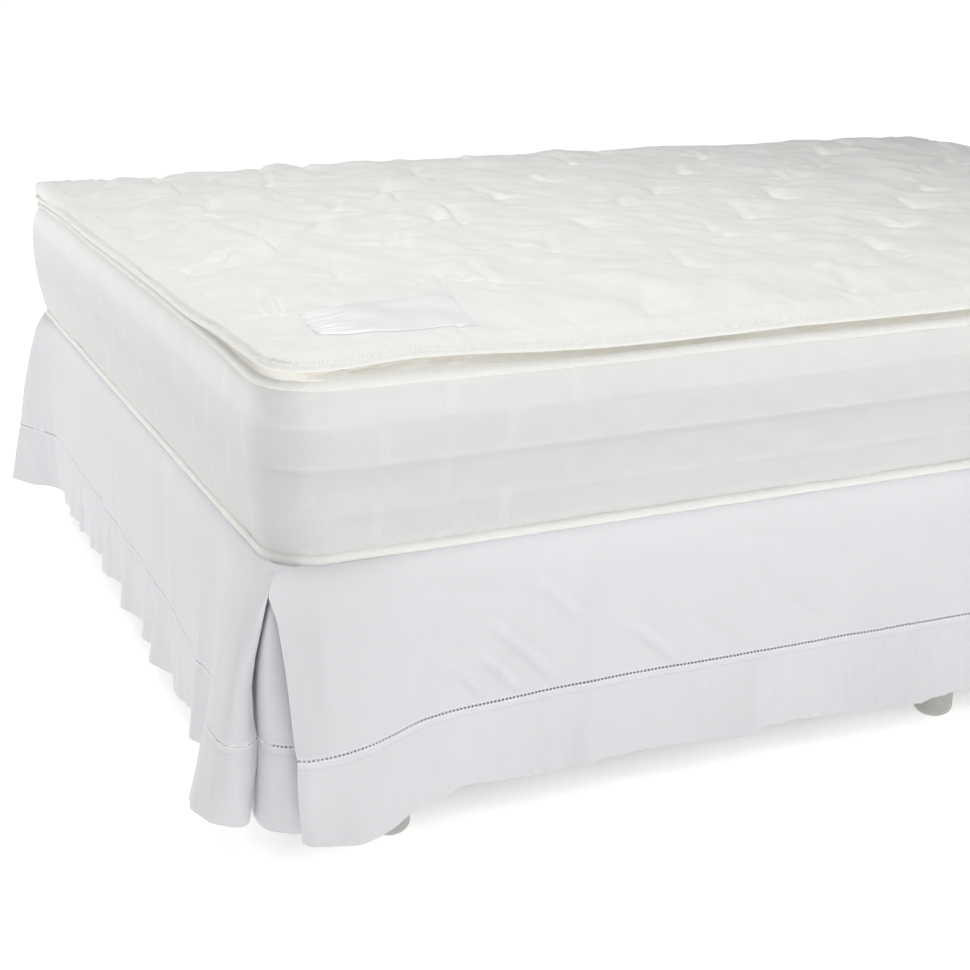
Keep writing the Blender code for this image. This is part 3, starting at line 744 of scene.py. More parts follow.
def top_material():
    """Quilted ticking with a faint damask sheen."""
    made, tree, shader = finish_material("pillow_ticking", (0.83, 0.835, 0.80), 0.6, sheen=0.15)
    place = cloth_place(tree)
    cloud = patches(tree, place, 26.0, 26.0, 4.0)
    crumple = patches(tree, place, 70.0, 110.0, 5.0, 0.6)
    shade_between(tree, shader, cloud, (0.872, 0.875, 0.850), (0.900, 0.903, 0.878))
    raise_surface(tree, shader, [(crumple, 0.0018, 0.35), (weave(tree, place, 0.0006), 0.0002, 0.4)])
    return made


def woven_blocks(tree, place):
    """1 inside the border's pale blocks, which stand in staggered columns, with soft edges."""
    column, level = (times(tree, value, 1 / pitch)
                     for value, pitch in zip(place, (BLOCK_PITCH_ALONG, BLOCK_PITCH_UP)))
    shift = times(tree, calc(tree, "MODULO", calc(tree, "FLOOR", column), 2.0), 0.5)
    soft = []
    for value, half, blur in ((column, 0.09, 0.012), (plus(tree, level, shift), 0.23, 0.03)):
        away = calc(tree, "ABSOLUTE", calc(tree, "SUBTRACT", calc(tree, "FRACT", value), 0.5))
        soft.append(ranged(tree, away, half + blur, half - blur))
    return times(tree, *soft)


def border_material():
    """Mattress border: damask with pale woven blocks, and a painted highlight up at the shoulder under the
    cord.
    """
    made, tree, shader = finish_material("border_damask", (0.80, 0.80, 0.78), 0.6, sheen=0.1)
    place = cloth_place(tree)
    fleck = patches(tree, place, 300.0, 90.0)
    near_corner = ranged(tree, place[0], 4.1, 3.75, 0.35)
    patchy = times(tree, patches(tree, place, 7.0, 9.0, 2.0), near_corner)
    faded = times(tree, woven_blocks(tree, place), patchy)
    pale = plus(tree, times(tree, faded, 0.08), times(tree, fleck, 0.095))
    # Painted highlight: paler towards the top, where the rolled shoulder faces up to the light.
    for start, end, step in ((0.10, 0.20, 0.145), (0.150, 0.195, 0.14)):
        pale = plus(tree, pale, ranged(tree, place[1], start, end, 0.0, step))
    shade_between(tree, shader, plus(tree, pale, 0.30), (0.690, 0.692, 0.682), (0.900, 0.903, 0.888))
    raise_surface(tree, shader, [
        (patches(tree, place, 30.0, 55.0, 4.0), 0.0012, 0.25),
        (faded, 0.0003, 0.4),
        (weave(tree, place, 0.0007), 0.0002, 0.4),
    ])
    return made


def gusset_material():
    """Cream inner cloth of the pillow top's side, darker at the top as painted shade under the edge tape,
    paler further down.
    """
    made, tree, shader = finish_material("gusset_cloth", (0.93, 0.89, 0.80), 0.8)
    place = cloth_place(tree)
    crumple = patches(tree, place, 90.0, 160.0, 4.0)
    # Painted shade: the level down the gusset, held in its plan, lightens it from the tape down to the cord.
    pale = plus(tree, times(tree, crumple, 0.5), times(tree, place[1], 26.0))
    shade_between(tree, shader, pale, (0.74, 0.69, 0.59), (0.89, 0.87, 0.82))
    raise_surface(tree, shader, [(crumple, 0.002, 0.5), (weave(tree, place, 0.0006), 0.0002, 0.4)])
    return made


def tape_material():
    """Ribbed edge tape: fine ribs across its length."""
    made, tree, shader = finish_material("ribbed_tape", (0.85, 0.85, 0.815), 0.6, sheen=0.1)
    place = cloth_place(tree)
    ribs = calc(tree, "SINE", times(tree, place[0], 2 * math.pi / 0.0016))
    cloud = patches(tree, place, 120.0, 200.0)
    shade_between(tree, shader, cloud, (0.86, 0.86, 0.825), (0.90, 0.90, 0.87))
    raise_surface(tree, shader, [(cloud, 0.001, 0.4), (ribs, 0.0002, 0.5)])
    return made


def thread_material():
    """Glossy sewing thread."""
    made, tree, shader = finish_material("stitch_thread", (0.90, 0.90, 0.87), 0.45, sheen=0.1)
    twist = mottle(tree, (node(tree, "TexCoord"), "Object"), 2500.0, 1.0)
    shade_between(tree, shader, twist, (0.86, 0.86, 0.83), (0.93, 0.93, 0.91))
    raise_surface(tree, shader, [(twist, 0.0002, 0.4)])
    return made


def label_material():
    """Blank satin label."""
    made, tree, shader = finish_material("satin_label", (0.84, 0.84, 0.85), 0.38, specular=0.5)
    satin = patches(tree, cloth_place(tree), 60.0, 1500.0, 2.0)
    shade_between(tree, shader, satin, (0.880, 0.882, 0.900), (0.905, 0.907, 0.921))
    raise_surface(tree, shader, [(satin, 0.0002, 0.3)])
    return made


def base_material():
    """Plain cover cloth of the base."""
    made, tree, shader = finish_material("base_cover", (0.74, 0.74, 0.73), 0.9, sheen=0.1)
    place = node(tree, "TexCoord"), "Object"
    fleck = mottle(tree, place, 260.0, 4.0, 0.7)
    cloud = mottle(tree, place, 9.0)
    both = plus(tree, times(tree, fleck, 0.5), times(tree, cloud, 0.5))
    shade_between(tree, shader, both, (0.70, 0.70, 0.69), (0.78, 0.78, 0.77))
    raise_surface(tree, shader, [(cloud, 0.006, 0.3), (fleck, 0.0006, 0.5)])
    return made


def foot_material():
    """Moulded grey plastic with a faint grain, and scuffs that change its sheen."""
    made, tree, shader = finish_material("foot_plastic", (0.50, 0.50, 0.475), 0.5)
    place = node(tree, "TexCoord"), "Object"
    grain = mottle(tree, place, 900.0, 2.0)
    scuffs = mottle(tree, place, 70.0, 4.0, 0.7)
    shade_between(tree, shader, scuffs, (0.47, 0.47, 0.45), (0.53, 0.53, 0.505))
    raise_surface(tree, shader, [(grain, 0.0003, 0.25)])
    dull, output = ranged(tree, scuffs, 0.0, 1.0, 0.4, 0.62, kind="LINEAR")
    tree.links.new(dull.outputs[output], shader.inputs["Roughness"])
    return made


def floor_material():
    """Plain white studio floor. It glows, so that shadows on it stay pale, but not under the bed."""
    made, tree, shader = finish_material("studio_floor", (0.9, 0.9, 0.9), 0.9)
    parts = node(tree, "SeparateXYZ", [(0, (node(tree, "TexCoord"), "Object"))])
    past = [calc(tree, "SUBTRACT", calc(tree, "ABSOLUTE", (parts, axis)), size / 2)
            for axis, size in enumerate((BED_LENGTH, BED_WIDTH))]
    past_bed = calc(tree, "MAXIMUM", *past)
    near = ranged(tree, past_bed, -0.22, -0.02, 0.0, FLOOR_GLOW, kind="LINEAR")
    far = ranged(tree, past_bed, 0.8, 4.0, 0.0, BACKDROP_GLOW - FLOOR_GLOW)
    glow, output = plus(tree, near, far)
    shader.inputs["Emission Color"].default_value = (1.0, 1.0, 1.0, 1.0)
    tree.links.new(glow.outputs[output], shader.inputs["Emission Strength"])
    return made


# ------------------------------------------------------------------------------ skirt
def hang(top, stitch, hem, depth):
    """Where a thread is at a depth. Flares open fast, hollows deepen evenly, and the hem kicks out slowly."""
    line, fall = STITCH_DROP / SKIRT_DROP, depth / SKIRT_DROP
    kick = line**KICK_RISE * (hem - top)
    flare = (stitch - top - kick) / (line**FLARE_RISE - line**KICK_RISE)
    hollow = (stitch - top - kick) / (line**HOLLOW_RISE - line**KICK_RISE)
    share = np.where(flare > 0, flare, hollow)
    opened = np.where(flare > 0, fall**FLARE_RISE, fall**HOLLOW_RISE)
    return top + share * opened + (hem - top - share) * fall**KICK_RISE


def panel_place(folds, slits, t, depth):
    """Place along and out of a panel's outer face. Slits holds (outermost fold row, slit rows, +1 or -1) for
    each edge at a slit, with the sign of the way along from the edge into the panel."""
    top, stitch_at, stitch_out, hem_at, hem_out = np.moveaxis(spline(folds, t), -1, 0)
    at = hang(top, stitch_at, hem_at, depth)
    out = hang(PANEL_TOP_OUT, stitch_out, hem_out, depth)
    roll = EDGE_ROLL * np.exp(-depth / EDGE_ROLL_DEPTH)
    for edge, slit, inward in slits:
        slit_depth, slit_at, slit_out = np.array(slit).T
        slit_at = np.interp(depth, slit_depth, slit_at)
        slit_out = np.interp(depth, slit_depth, slit_out)
        slit_at = slit_at if inward > 0 else BED_WIDTH - slit_at
        fade = hump(top - edge[0], SLIT_REACH)
        at = at + fade * (slit_at - hang(edge[0], edge[1], edge[3], depth))
        out = out + fade * (slit_out - hang(PANEL_TOP_OUT, edge[2], edge[4], depth))
        at = at + inward * fade * roll
    return at, out - roll


def side_ripples(at, depth):
    """Small relief of a long side panel: drag lines, puckers in the hem, and uneven hung cotton."""
    falls = smooth_step(depth, 0.0, 0.12)
    hem = smooth_step(depth, STITCH_DROP, STITCH_DROP + 0.04)
    leaning = at - PUCKER_LEAN * (depth - SKIRT_DROP)
    puckers = sum(height * hump(leaning - place, width) for place, width, height in SIDE_HEM_PUCKERS)
    relief = creases(SIDE_CREASES, at, depth) + falls * waves(SIDE_WAVES, at, depth)
    return relief + hem * (puckers + waves(SIDE_HEM_WAVES, at, depth))


def far_ripples(at, depth):
    """Relief of the far side panel: calmer than the near one's, and set otherwise along the bed."""
    return 0.6 * side_ripples(BED_LENGTH - 0.10 - at, depth)


def foot_ripples(at, depth):
    """Small relief of the foot panel: many fine upright ribs that deepen towards the hem."""
    falls = smooth_step(depth, 0.01, 0.20)
    hem = smooth_step(depth, STITCH_DROP, STITCH_DROP + 0.05)
    return falls * waves(FOOT_WAVES, at, depth) + hem * waves(FOOT_HEM_WAVES, at, depth)


def hem_relief(depth):
    """The folded hem stands a little proud, with a seam that draws it in below the ladder."""
    double = HEM_PROUD * (depth > STITCH_DROP)
    return double - SEAM_GROOVE * hump(depth - STITCH_DROP - SEAM_BELOW, 0.0009)


def panel_surface(folds, slits, ripples, to_bed):
    """A function that gives points on the panel's outer face at a share along it and a depth."""
    def surface(t, depth):
        at, out = panel_place(folds, slits, t, depth)
        out = out + smooth_step(depth, *RELIEF_GROWS) * (ripples(at, depth) + hem_relief(depth))
        x, y = to_bed(at, out)
        return bed(x, y, -PANEL_TOP_DROP - depth * (SKIRT_DROP - PANEL_TOP_DROP) / SKIRT_DROP)
    return surface


def ladder(surface, width, outward):
    """The hemstitch: bars of bundled threads across the gap between the upper cloth and the hem."""
    fine = np.linspace(0.0, 1.0, SHARE_STEPS)
    steps, _ = even_shares(surface(fine, np.full(SHARE_STEPS, STITCH_DROP)), int(width / LADDER_PITCH))
    steps = steps[1:-1]
    high, low = (surface(steps, np.full(len(steps), STITCH_DROP + side * (LADDER_HEIGHT / 2 + BAR_HIDDEN)))
                 for side in (-1, 1))
    beside = surface(steps + 0.0005, np.full(len(steps), STITCH_DROP))
    outs = outward * unit(np.cross(beside - high, low - high))
    lift = outs * BAR_LIFT
    return threads(high + lift, low + lift, outs, BAR_WIDTH / 2, waist=BAR_WAIST / BAR_WIDTH)


def hanging_cloth(surface, columns, upper_rows, hem_rows, outward, turn_over=None):
    """A panel as one body of cloth: the upper cloth, the ladder of drawn threads, and the folded hem."""
    fine = np.linspace(0.0, 1.0, SHARE_STEPS)
    shares, width = even_shares(surface(fine, np.full(SHARE_STEPS, SKIRT_DROP)), columns)
    upper_end, hem_start = STITCH_DROP - LADDER_HEIGHT / 2, STITCH_DROP + LADDER_HEIGHT / 2
    seam = STITCH_DROP + SEAM_BELOW + SEAM_ROWS
    upper = np.concatenate((TOP_ROWS, np.linspace(0.016, upper_end, upper_rows)))
    hem = np.concatenate(((hem_start, hem_start + 0.003), seam,
                          np.linspace(seam[-1] + 0.004, SKIRT_DROP, hem_rows)))
    parts = []
    for depths, thickness in ((upper, CLOTH_THICK), (hem, HEM_THICK)):
        t, depth = np.meshgrid(shares, depths)
        grid = surface(t, depth)
        plan = np.stack((np.broadcast_to(np.linspace(0, width, columns), depth.shape), depth), axis=-1)
        if turn_over is not None and depths is upper:
            grid, plan = turn_over(grid, plan)
        parts.append(shell(grid, plan, thickness, outward))
    return joined([*parts, ladder(surface, width, outward)])


def roll_over(inward):
    """Extends a panel's top edge a little way onto the deck, so that the cloth turns over the edge."""
    def extend(grid, plan):
        rows, plans = [], []
        for back, drop in TURNED_OVER:
            row = grid[0] + np.array((*inward, 0.0)) * back
            row[:, 2] = DECK_HEIGHT - drop
            rows.append(row)
            plans.append(plan[0] - np.array((0.0, back)))
        return np.concatenate((np.array(rows), grid)), np.concatenate((np.array(plans), plan))
    return extend


def underlay_surface(far_side):
    """A function that gives points on the outer face of the underlay behind a split corner."""
    def surface(t, depth):
        top_x, top_y, line_x, line_y, hem_x, hem_y = np.moveaxis(spline(UNDERLAY_SECTIONS, t), -1, 0)
        share = np.clip((depth - UNDERLAY_TOP_DROP) / (STITCH_DROP - UNDERLAY_TOP_DROP), 0.0, 1.0)
        below = np.clip((depth - STITCH_DROP) / (SKIRT_DROP - STITCH_DROP), 0.0, 1.0)
        x = top_x + share * (line_x - top_x) + below * (hem_x - line_x)
        y = top_y + share * (line_y - top_y) + below * (hem_y - line_y)
        puff = UNDERLAY_PUFF * np.sin(np.pi * share) * hump(t - 0.42, 0.22)
        x, y = x - puff, y - 0.4 * puff
        ripple = 0.0010 * share * soft_noise(t * 9.0, depth / 0.12, 11 if far_side else 10)
        push = (ripple - UNDERLAY_SET_BACK + hem_relief(depth)) / math.sqrt(2)
        x, y = x - push, y - push
        return bed(x, BED_WIDTH - y if far_side else y, -depth)
    return surface


def deck_cloth():
    """The platform cloth, as wide as the panels' inner faces."""
    out = PANEL_TOP_OUT - CLOTH_THICK
    x, y = np.meshgrid(np.linspace(-out, BED_LENGTH, 136), np.linspace(-out, BED_WIDTH + out, 104))
    return shell(bed(x, y, -DECK_CLOTH_DROP), np.stack((x, y), axis=-1), 0.0005, 1)


def bed_skirt(cotton):
    """The platform cloth, three hanging panels, and two corner underlays."""
    foot_slits = ((FOOT_FOLDS[0], FOOT_SLIT, 1), (FOOT_FOLDS[-1], FOOT_FAR_SLIT, -1))
    side_slits = ((SIDE_FOLDS[0], SIDE_SLIT, 1),)
    deck = piece("skirt_deck_cloth", deck_cloth(), cotton)
    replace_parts(deck, "skirt_deck")
    panels = (
        ("skirt_foot_cloth", "skirt_foot_panel", FOOT_FOLDS, foot_slits, foot_ripples,
         lambda at, out: (-out, at), -1, (1.0, 0.0), 620, FOOT_FLAT),
        ("skirt_near_cloth", "skirt_near_panel", SIDE_FOLDS, side_slits, side_ripples,
         lambda at, out: (at, -out), 1, (0.0, 1.0), 700, SIDE_FLAT),
        ("skirt_far_cloth", "skirt_far_panel", SIDE_FOLDS, side_slits, far_ripples,
         lambda at, out: (at, BED_WIDTH + out), -1, (0.0, -1.0), 480, SIDE_FLAT),
    )
    for name, solid, folds, slits, ripples, to_bed, outward, inward, columns, width in panels:
        surface = panel_surface(folds, slits, ripples, to_bed)
        shape = hanging_cloth(surface, columns, 38, 20, outward, roll_over(inward))
        cloth = piece(name, shape, cotton)
        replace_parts(cloth, solid)
    for name, solid, far_side in (
        ("skirt_near_corner_cloth", "skirt_near_underlay", False),
        ("skirt_far_corner_cloth", "skirt_far_underlay", True),
    ):
        shape = hanging_cloth(underlay_surface(far_side), 90, 30, 14, 1 if far_side else -1)
        cloth = piece(name, shape, cotton)
        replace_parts(cloth, solid)


# ------------------------------------------------------------------------------ mattress
def rim(corners, step=0.006, arc_steps=14):
    """The bed's outline with rounded corners, anticlockwise: points, outward normals, and length along."""
    points, normals = [], []
    centres = ((1, 1), (0, 1), (0, 0), (1, 0))
    for turn, ((right, back), corner) in enumerate(zip(centres, corners)):
        x = BED_LENGTH - corner if right else corner
        y = BED_WIDTH - corner if back else corner
        angles = turn * math.pi / 2 + np.linspace(0.0, math.pi / 2, arc_steps + 1)
        directions = np.stack((np.cos(angles), np.sin(angles)), axis=-1)
        points.append(np.array((x, y)) + corner * directions)
        normals.append(directions)
        after = corners[(turn + 1) % 4]
        straight = (BED_LENGTH if turn % 2 == 0 else BED_WIDTH) - corner - after
        heading = np.array((-directions[-1][1], directions[-1][0]))
        count = int(round((BED_LENGTH if turn % 2 == 0 else BED_WIDTH) / step))
        places = np.linspace(0.0, 1.0, count + 1)[1:-1, None] * straight
        points.append(points[-1][-1] + places * heading)
        normals.append(np.broadcast_to(directions[-1], (count - 1, 2)))
    points, normals = np.concatenate(points), np.concatenate(normals)
    steps = np.linalg.norm(np.roll(points, -1, axis=0) - points, axis=1)
    return points, normals, np.concatenate(([0.0], np.cumsum(steps)[:-1]))


def rim_place(x, y):
    """Place round the rim from the near foot corner: above zero on the near side, below on the foot side."""
    near, foot, far, head = y, x, BED_WIDTH - y, BED_LENGTH - x
    nearest = np.minimum(np.minimum(near, foot), np.minimum(far, head))
    at_corner = (nearest == near) | (nearest == foot)
    return np.select([at_corner, nearest == far], [x - y, -BED_WIDTH - x], BED_LENGTH + y)


def round_rim(rows, place):
    """A value round the rim from rows of (place, value), without sharp turns."""
    places, values = np.array(rows).T
    return sum(np.interp(place + shift, places, values) for shift in (-0.024, -0.008, 0.008, 0.024)) / 4


def mattress_border():
    """The mattress's side, quilted along three lines, drawn in at the bottom and rolled in under the cord."""
    low, low_normal, length = rim(CORNERS_LOW)
    high, high_normal, _ = rim(CORNERS_HIGH)
    place = rim_place(*high.T)
    top = round_rim(CORD_HEIGHTS, place)
    foot_side = hump(place + BED_WIDTH, 0.50)
    bulge = BODY_BULGE + FOOT_BULGE * foot_side
    rows, plans = [], []
    for share in np.concatenate((np.linspace(0.0, 0.62, 38), np.linspace(0.64, 1.0, 22))):
        height = BODY_LOW + share * (top - BODY_LOW)
        spot = low + share * (high - low)
        normal = low_normal + share * (high_normal - low_normal)
        out = bulge * np.sin(np.pi * share**1.35) ** 0.7 - FOOT_IN * (1 - smooth_step(share, 0.0, 0.12))
        out = out + waves(BORDER_WAVES, length, height)
        for number, (line, drawn_in) in enumerate(QUILT_LINES):
            away = height - line - 0.0020 * soft_noise(length / 0.16, 0 * length, 22 + number)
            groove = hump(away, QUILT_WIDTH) + 0.7 * hump(away, 5 * QUILT_WIDTH)
            out = out - drawn_in * (0.35 + 0.65 * smooth_step(place, -0.06, 0.02)) * groove
        rolled = np.clip((share - SHOULDER_FROM) / (1 - SHOULDER_FROM), 0.0, 1.0)
        spot = spot + normal * (out - SHOULDER_IN * rolled**1.8)[:, None]
        rows.append(bed(spot[:, 0], spot[:, 1], height))
        plans.append(np.stack((length, height), axis=-1))
    return ring_solid(np.array(rows), np.array(plans))


def edge_band(section, corners, heights, swell):
    """A tape round the bed. Section holds (out, rise) points anticlockwise seen along the band; heights and
    swell are rows of (place round the rim, value)."""
    spot, normal, length = rim(corners)
    place = rim_place(*spot.T)
    height, size = round_rim(heights, place), round_rim(swell, place)
    wobble = 0.0005 * soft_noise(length / 0.045, 0 * length, 51)
    rows, plans, girth = [], [], 0.0
    for before, (out, rise) in zip((section[0], *section), section):
        girth += math.dist(before, (out, rise))
        x, y = (spot + normal * (out * size + wobble)[:, None]).T
        rows.append(bed(x, y, height + rise * size + wobble))
        plans.append(np.stack((length, np.full(len(length), girth)), axis=-1))
    grid = np.array(rows)
    count, columns = grid.shape[:2]
    faces = grid_faces(count + 1, columns, ring=True) % (count * columns)
    return grid.reshape(-1, 3), faces, np.array(plans).reshape(-1, 2)


def round_section(out, radius, sides=12):
    turns = [2 * math.pi * k / sides for k in range(sides)]
    return [(out + radius * math.cos(a), radius * math.sin(a)) for a in turns]


def rim_stitches(corners, heights, pitch, start, end, lean, radius):
    """Slanting stitches round a tape. Start and end are (out, rise) on its face, lean how far along the end
    lies from the start."""
    spot, normal, run = rim(corners)
    length = run[-1] + np.linalg.norm(spot[0] - spot[-1])
    steps = np.arange(0.0, length - pitch, pitch)
    uneven = np.random.default_rng(61).normal(0.0, 1.0, (3, len(steps)))
    wrapped = np.append(run, length)
    ends = []
    for shift, (out, rise) in ((0.0, start), (lean, end)):
        at = (steps + shift + 0.08 * pitch * uneven[0]) % length
        x, y = (np.interp(at, wrapped, np.append(spot[:, k], spot[0, k])) for k in (0, 1))
        nx, ny = (np.interp(at, wrapped, np.append(normal[:, k], normal[0, k])) for k in (0, 1))
        x, y = x + nx * out, y + ny * out
        height = round_rim(heights, rim_place(x, y)) + rise
        ends.append(bed(x, y, height + 0.0003 * uneven[1 if shift else 2]))
    outs = unit(np.stack((nx, ny, np.full(len(nx), 0.9)), axis=-1))
    return threads(*ends, outs, radius)


def rounded_plan(x, y, out, radii):
    """Points of the bed's rectangle moved so that its square corners become round, the edge grown by out."""
    right, back = x > BED_LENGTH / 2, y > BED_WIDTH / 2
    corner = np.where(right, np.where(back, radii[0], radii[3]), np.where(back, radii[1], radii[2]))
    a = 1 - np.where(right, BED_LENGTH - x, x) / corner
    b = 1 - np.where(back, BED_WIDTH - y, y) / corner
    inside = (a > 0) & (b > 0)
    round_a = np.where(inside, a * np.sqrt(np.clip(1 - b * b / 2, 0, None)), a)
    round_b = np.where(inside, b * np.sqrt(np.clip(1 - a * a / 2, 0, None)), b)
    new_x = corner * (1 - round_a) - out * np.clip(round_a, 0, None)
    new_y = corner * (1 - round_b) - out * np.clip(round_b, 0, None)
    return np.where(right, BED_LENGTH - new_x, new_x), np.where(back, BED_WIDTH - new_y, new_y)


def tufts():
    """Places of the tufts on the pillow top: staggered rows, none under the label."""
    places = []
    for row in range(int(BED_WIDTH / TUFT_PITCH_Y) + 1):
        shift = TUFT_START_X + (0.5 * TUFT_PITCH_X if row % 2 == 0 else 0.0)
        for column in range(int(BED_LENGTH / TUFT_PITCH_X) + 1):
            place = (shift + column * TUFT_PITCH_X, TUFT_START_Y + row * TUFT_PITCH_Y)
            if under_label(*place) < 0.02:
                places.append(place)
    return places


def pleats(rows, x, y):
    """Height of troughs that taper at both ends, each with a lip on its right. Columns: start x, y; end x, y;
    width, depth."""
    relief = np.zeros(x.shape)
    for x0, y0, x1, y1, width, depth in rows:
        reach = math.hypot(x1 - x0, y1 - y0) / 2 + 6 * width
        close = np.hypot(x - (x0 + x1) / 2, y - (y0 + y1) / 2) < reach
        length, share, across = line_place(x[close], y[close], x0, y0, x1, y1)
        across = across + 0.10 * length * share * (1 - share)
        taper = np.clip(4 * share * (1 - share), 0.0, 1.0) ** 0.7
        lip = 0.55 * hump(across - 2.1 * width, 1.6 * width)
        relief[close] += depth * taper * (lip - hump(across, width))
    return relief


def quilted_relief(x, y):
    """Height of the pillow top's quilting: a dip at each tuft, wider to the head end, and pleats from it."""
    draw = np.random.default_rng(31)
    relief, rows = np.zeros(x.shape), []
    for place_x, place_y in tufts():
        foot_share = math.exp(-((place_x / 0.45) ** 2))
        calm = 0.45 + 0.55 * min(place_y / 0.22, 1.0)
        place_x += draw.normal(0.0, 0.010)
        place_y += draw.normal(0.0, 0.008)
        close = (np.abs(x - place_x) < 0.16) & (np.abs(y - place_y) < 0.16)
        dx, dy = x[close] - place_x, y[close] - place_y
        lean = math.radians(draw.normal(72.0, 6.0))
        along = dx * math.cos(lean) + dy * math.sin(lean)
        across = dx * math.sin(lean) - dy * math.cos(lean)
        away = np.hypot(along / 1.6, across / np.where(across > 0, 1.25, 0.85))
        relief[close] -= TUFT_DEPTH * draw.uniform(0.75, 1.25) * calm * np.exp(-away / TUFT_REACH)
        free_spokes = range(int(draw.integers(2, 5)))
        spokes = [*LONG_SPOKES, *([draw.uniform(*limits) for limits in FREE_SPOKE] for _ in free_spokes),
                  [draw.uniform(*limits) for limits in FOOT_SPOKE]]
        for angle, length, depth in spokes:
            angle = math.radians(angle + draw.normal(0.0, 8.0))
            length *= draw.uniform(0.8, 1.2) * (1 + 0.25 * foot_share)
            depth *= draw.uniform(0.8, 1.2) * (1 + 0.5 * foot_share) * calm
            tip_x, tip_y = length * math.cos(angle), length * math.sin(angle)
            rows.append((place_x - 0.12 * tip_x, place_y - 0.12 * tip_y, place_x + tip_x, place_y + tip_y,
                         draw.uniform(0.005, 0.009), depth))
    return relief + pleats(rows, x, y)


def edge_crinkles(x, y, inside):
    """Short slanting creases that run in from the pillow top's edge."""
    draw = np.random.default_rng(41)
    rows = []
    for side, length in enumerate((BED_LENGTH, BED_WIDTH, BED_LENGTH, BED_WIDTH)):
        place = 0.08
        while place < length - 0.08:
            reach, lean = draw.uniform(0.022, 0.050), draw.uniform(-0.034, 0.006)
            depth, width = draw.uniform(0.0008, 0.0024), draw.uniform(0.0032, 0.0055)
            start = draw.uniform(0.004, 0.014)
            lines = (
                (place, start, place + lean, start + reach),
                (start, place, start + reach, place + lean),
                (place, BED_WIDTH - start, place + lean, BED_WIDTH - start - reach),
                (BED_LENGTH - start, place, BED_LENGTH - start - reach, place + lean),
            )
            rows.append((*lines[side], width, depth))
            place += draw.uniform(0.012, 0.050)
    band = smooth_step(inside, 0.004, 0.014) * (1 - smooth_step(inside, 0.045, 0.075))
    return band * pleats(rows, x, y)


def strewn_pleats(x, y):
    """Small pleats all over the pillow top, more of them towards the foot end."""
    draw = np.random.default_rng(43)
    rows = []
    for _ in range(STREWN_PLEATS):
        place_x, place_y = BED_LENGTH * draw.uniform(0.03, 1.0) ** 1.5, draw.uniform(0.04, BED_WIDTH - 0.04)
        length, turn = draw.uniform(0.020, 0.070), draw.uniform(0, math.pi)
        rows.append((place_x, place_y, place_x + length * math.cos(turn), place_y + length * math.sin(turn),
                     draw.uniform(0.004, 0.009), draw.uniform(0.0006, 0.0022)))
    return pleats(rows, x, y)


def under_label(x, y):
    """1 under the label, which holds the ticking flat, and 0 away from it."""
    (low_x, low_y), (high_x, high_y) = np.min(LABEL_CORNERS, axis=0), np.max(LABEL_CORNERS, axis=0)
    past = np.maximum(np.abs(x - (low_x + high_x) / 2) - (high_x - low_x) / 2,
                      np.abs(y - (low_y + high_y) / 2) - (high_y - low_y) / 2)
    return 1 - smooth_step(past, -0.010, 0.025)


def top_height(x, y):
    """Height of the pillow top's face at a place on the bed's rectangle."""
    inside = np.minimum(np.minimum(x, BED_LENGTH - x), np.minimum(y, BED_WIDTH - y))
    from_far_foot = np.hypot(x, y - BED_WIDTH)
    edge = round_rim(TAPE_HEIGHTS, rim_place(x, y)) + PILLOW_TAPE_RADIUS
    edge = edge + CORNER_LIFT * hump(from_far_foot, 0.055)
    reach = CROWN_REACH - CORNER_TIGHTER * hump(from_far_foot, 0.20)
    swell = np.sin(np.pi * (x / BED_LENGTH) ** 0.8) * np.clip(inside / TUFT_PITCH_Y, 0, 1)
    crown = PILLOW_TOP + PILLOW_MIDDLE * swell
    height = edge + (crown - edge) * (1 - np.exp(-inside / reach))
    height = height + 0.0045 * smooth_step(inside, 0.02, 0.12)
    height = height + smooth_step(inside, 0.01, 0.06) * waves(TOP_WAVES, x, y)
    folds = (quilted_relief(x, y) + strewn_pleats(x, y)) * smooth_step(inside, 0.004, 0.080)
    folds = (folds + pleats(TOP_PLEATS, x, y)) * (1 - 0.85 * under_label(x, y))
    ridge = 0.0020 * hump(inside - 0.026, 0.0040) * (0.6 + 0.4 * soft_noise(x / 0.07, y / 0.07, 34))
    return height + folds + ridge + edge_crinkles(x, y, inside)


def gusset_rings(rim_x, rim_y):
    """(x, y, height, level) rings of the pillow top's side, from its edge tape down to the cord."""
    place = rim_place(rim_x, rim_y)
    tape, cord = round_rim(TAPE_HEIGHTS, place), round_rim(CORD_HEIGHTS, place)
    inset = round_rim(GUSSET_INSETS, place)
    folded = smooth_step(place, -0.02, 0.01) * (1 - smooth_step(place, 0.20, 0.28))
    start, end = tape - 0.3 * PILLOW_TAPE_RADIUS, cord + 0.4 * CORD_RADIUS
    rings = []
    for level in (0.0, 0.15, 0.3, 0.45, 0.55, 0.7, 0.85, 1.0):
        sunk = math.sin(math.pi * level**0.6) ** 0.6
        crumple = (0.0006 + 0.0016 * folded) * soft_noise(place / 0.013, level * 3.0 + 0 * place, 35)
        crumple = crumple - 0.0016 * folded * math.cos(4 * math.pi * level)
        out = -0.004 + sunk * (crumple - inset + 0.004)
        radii = [pillow + level * (high - pillow) for pillow, high in zip(PILLOW_CORNERS, CORNERS_HIGH)]
        x, y = rounded_plan(rim_x, rim_y, out, radii)
        rings.append((x, y, start + level * (end - start), level))
    return rings


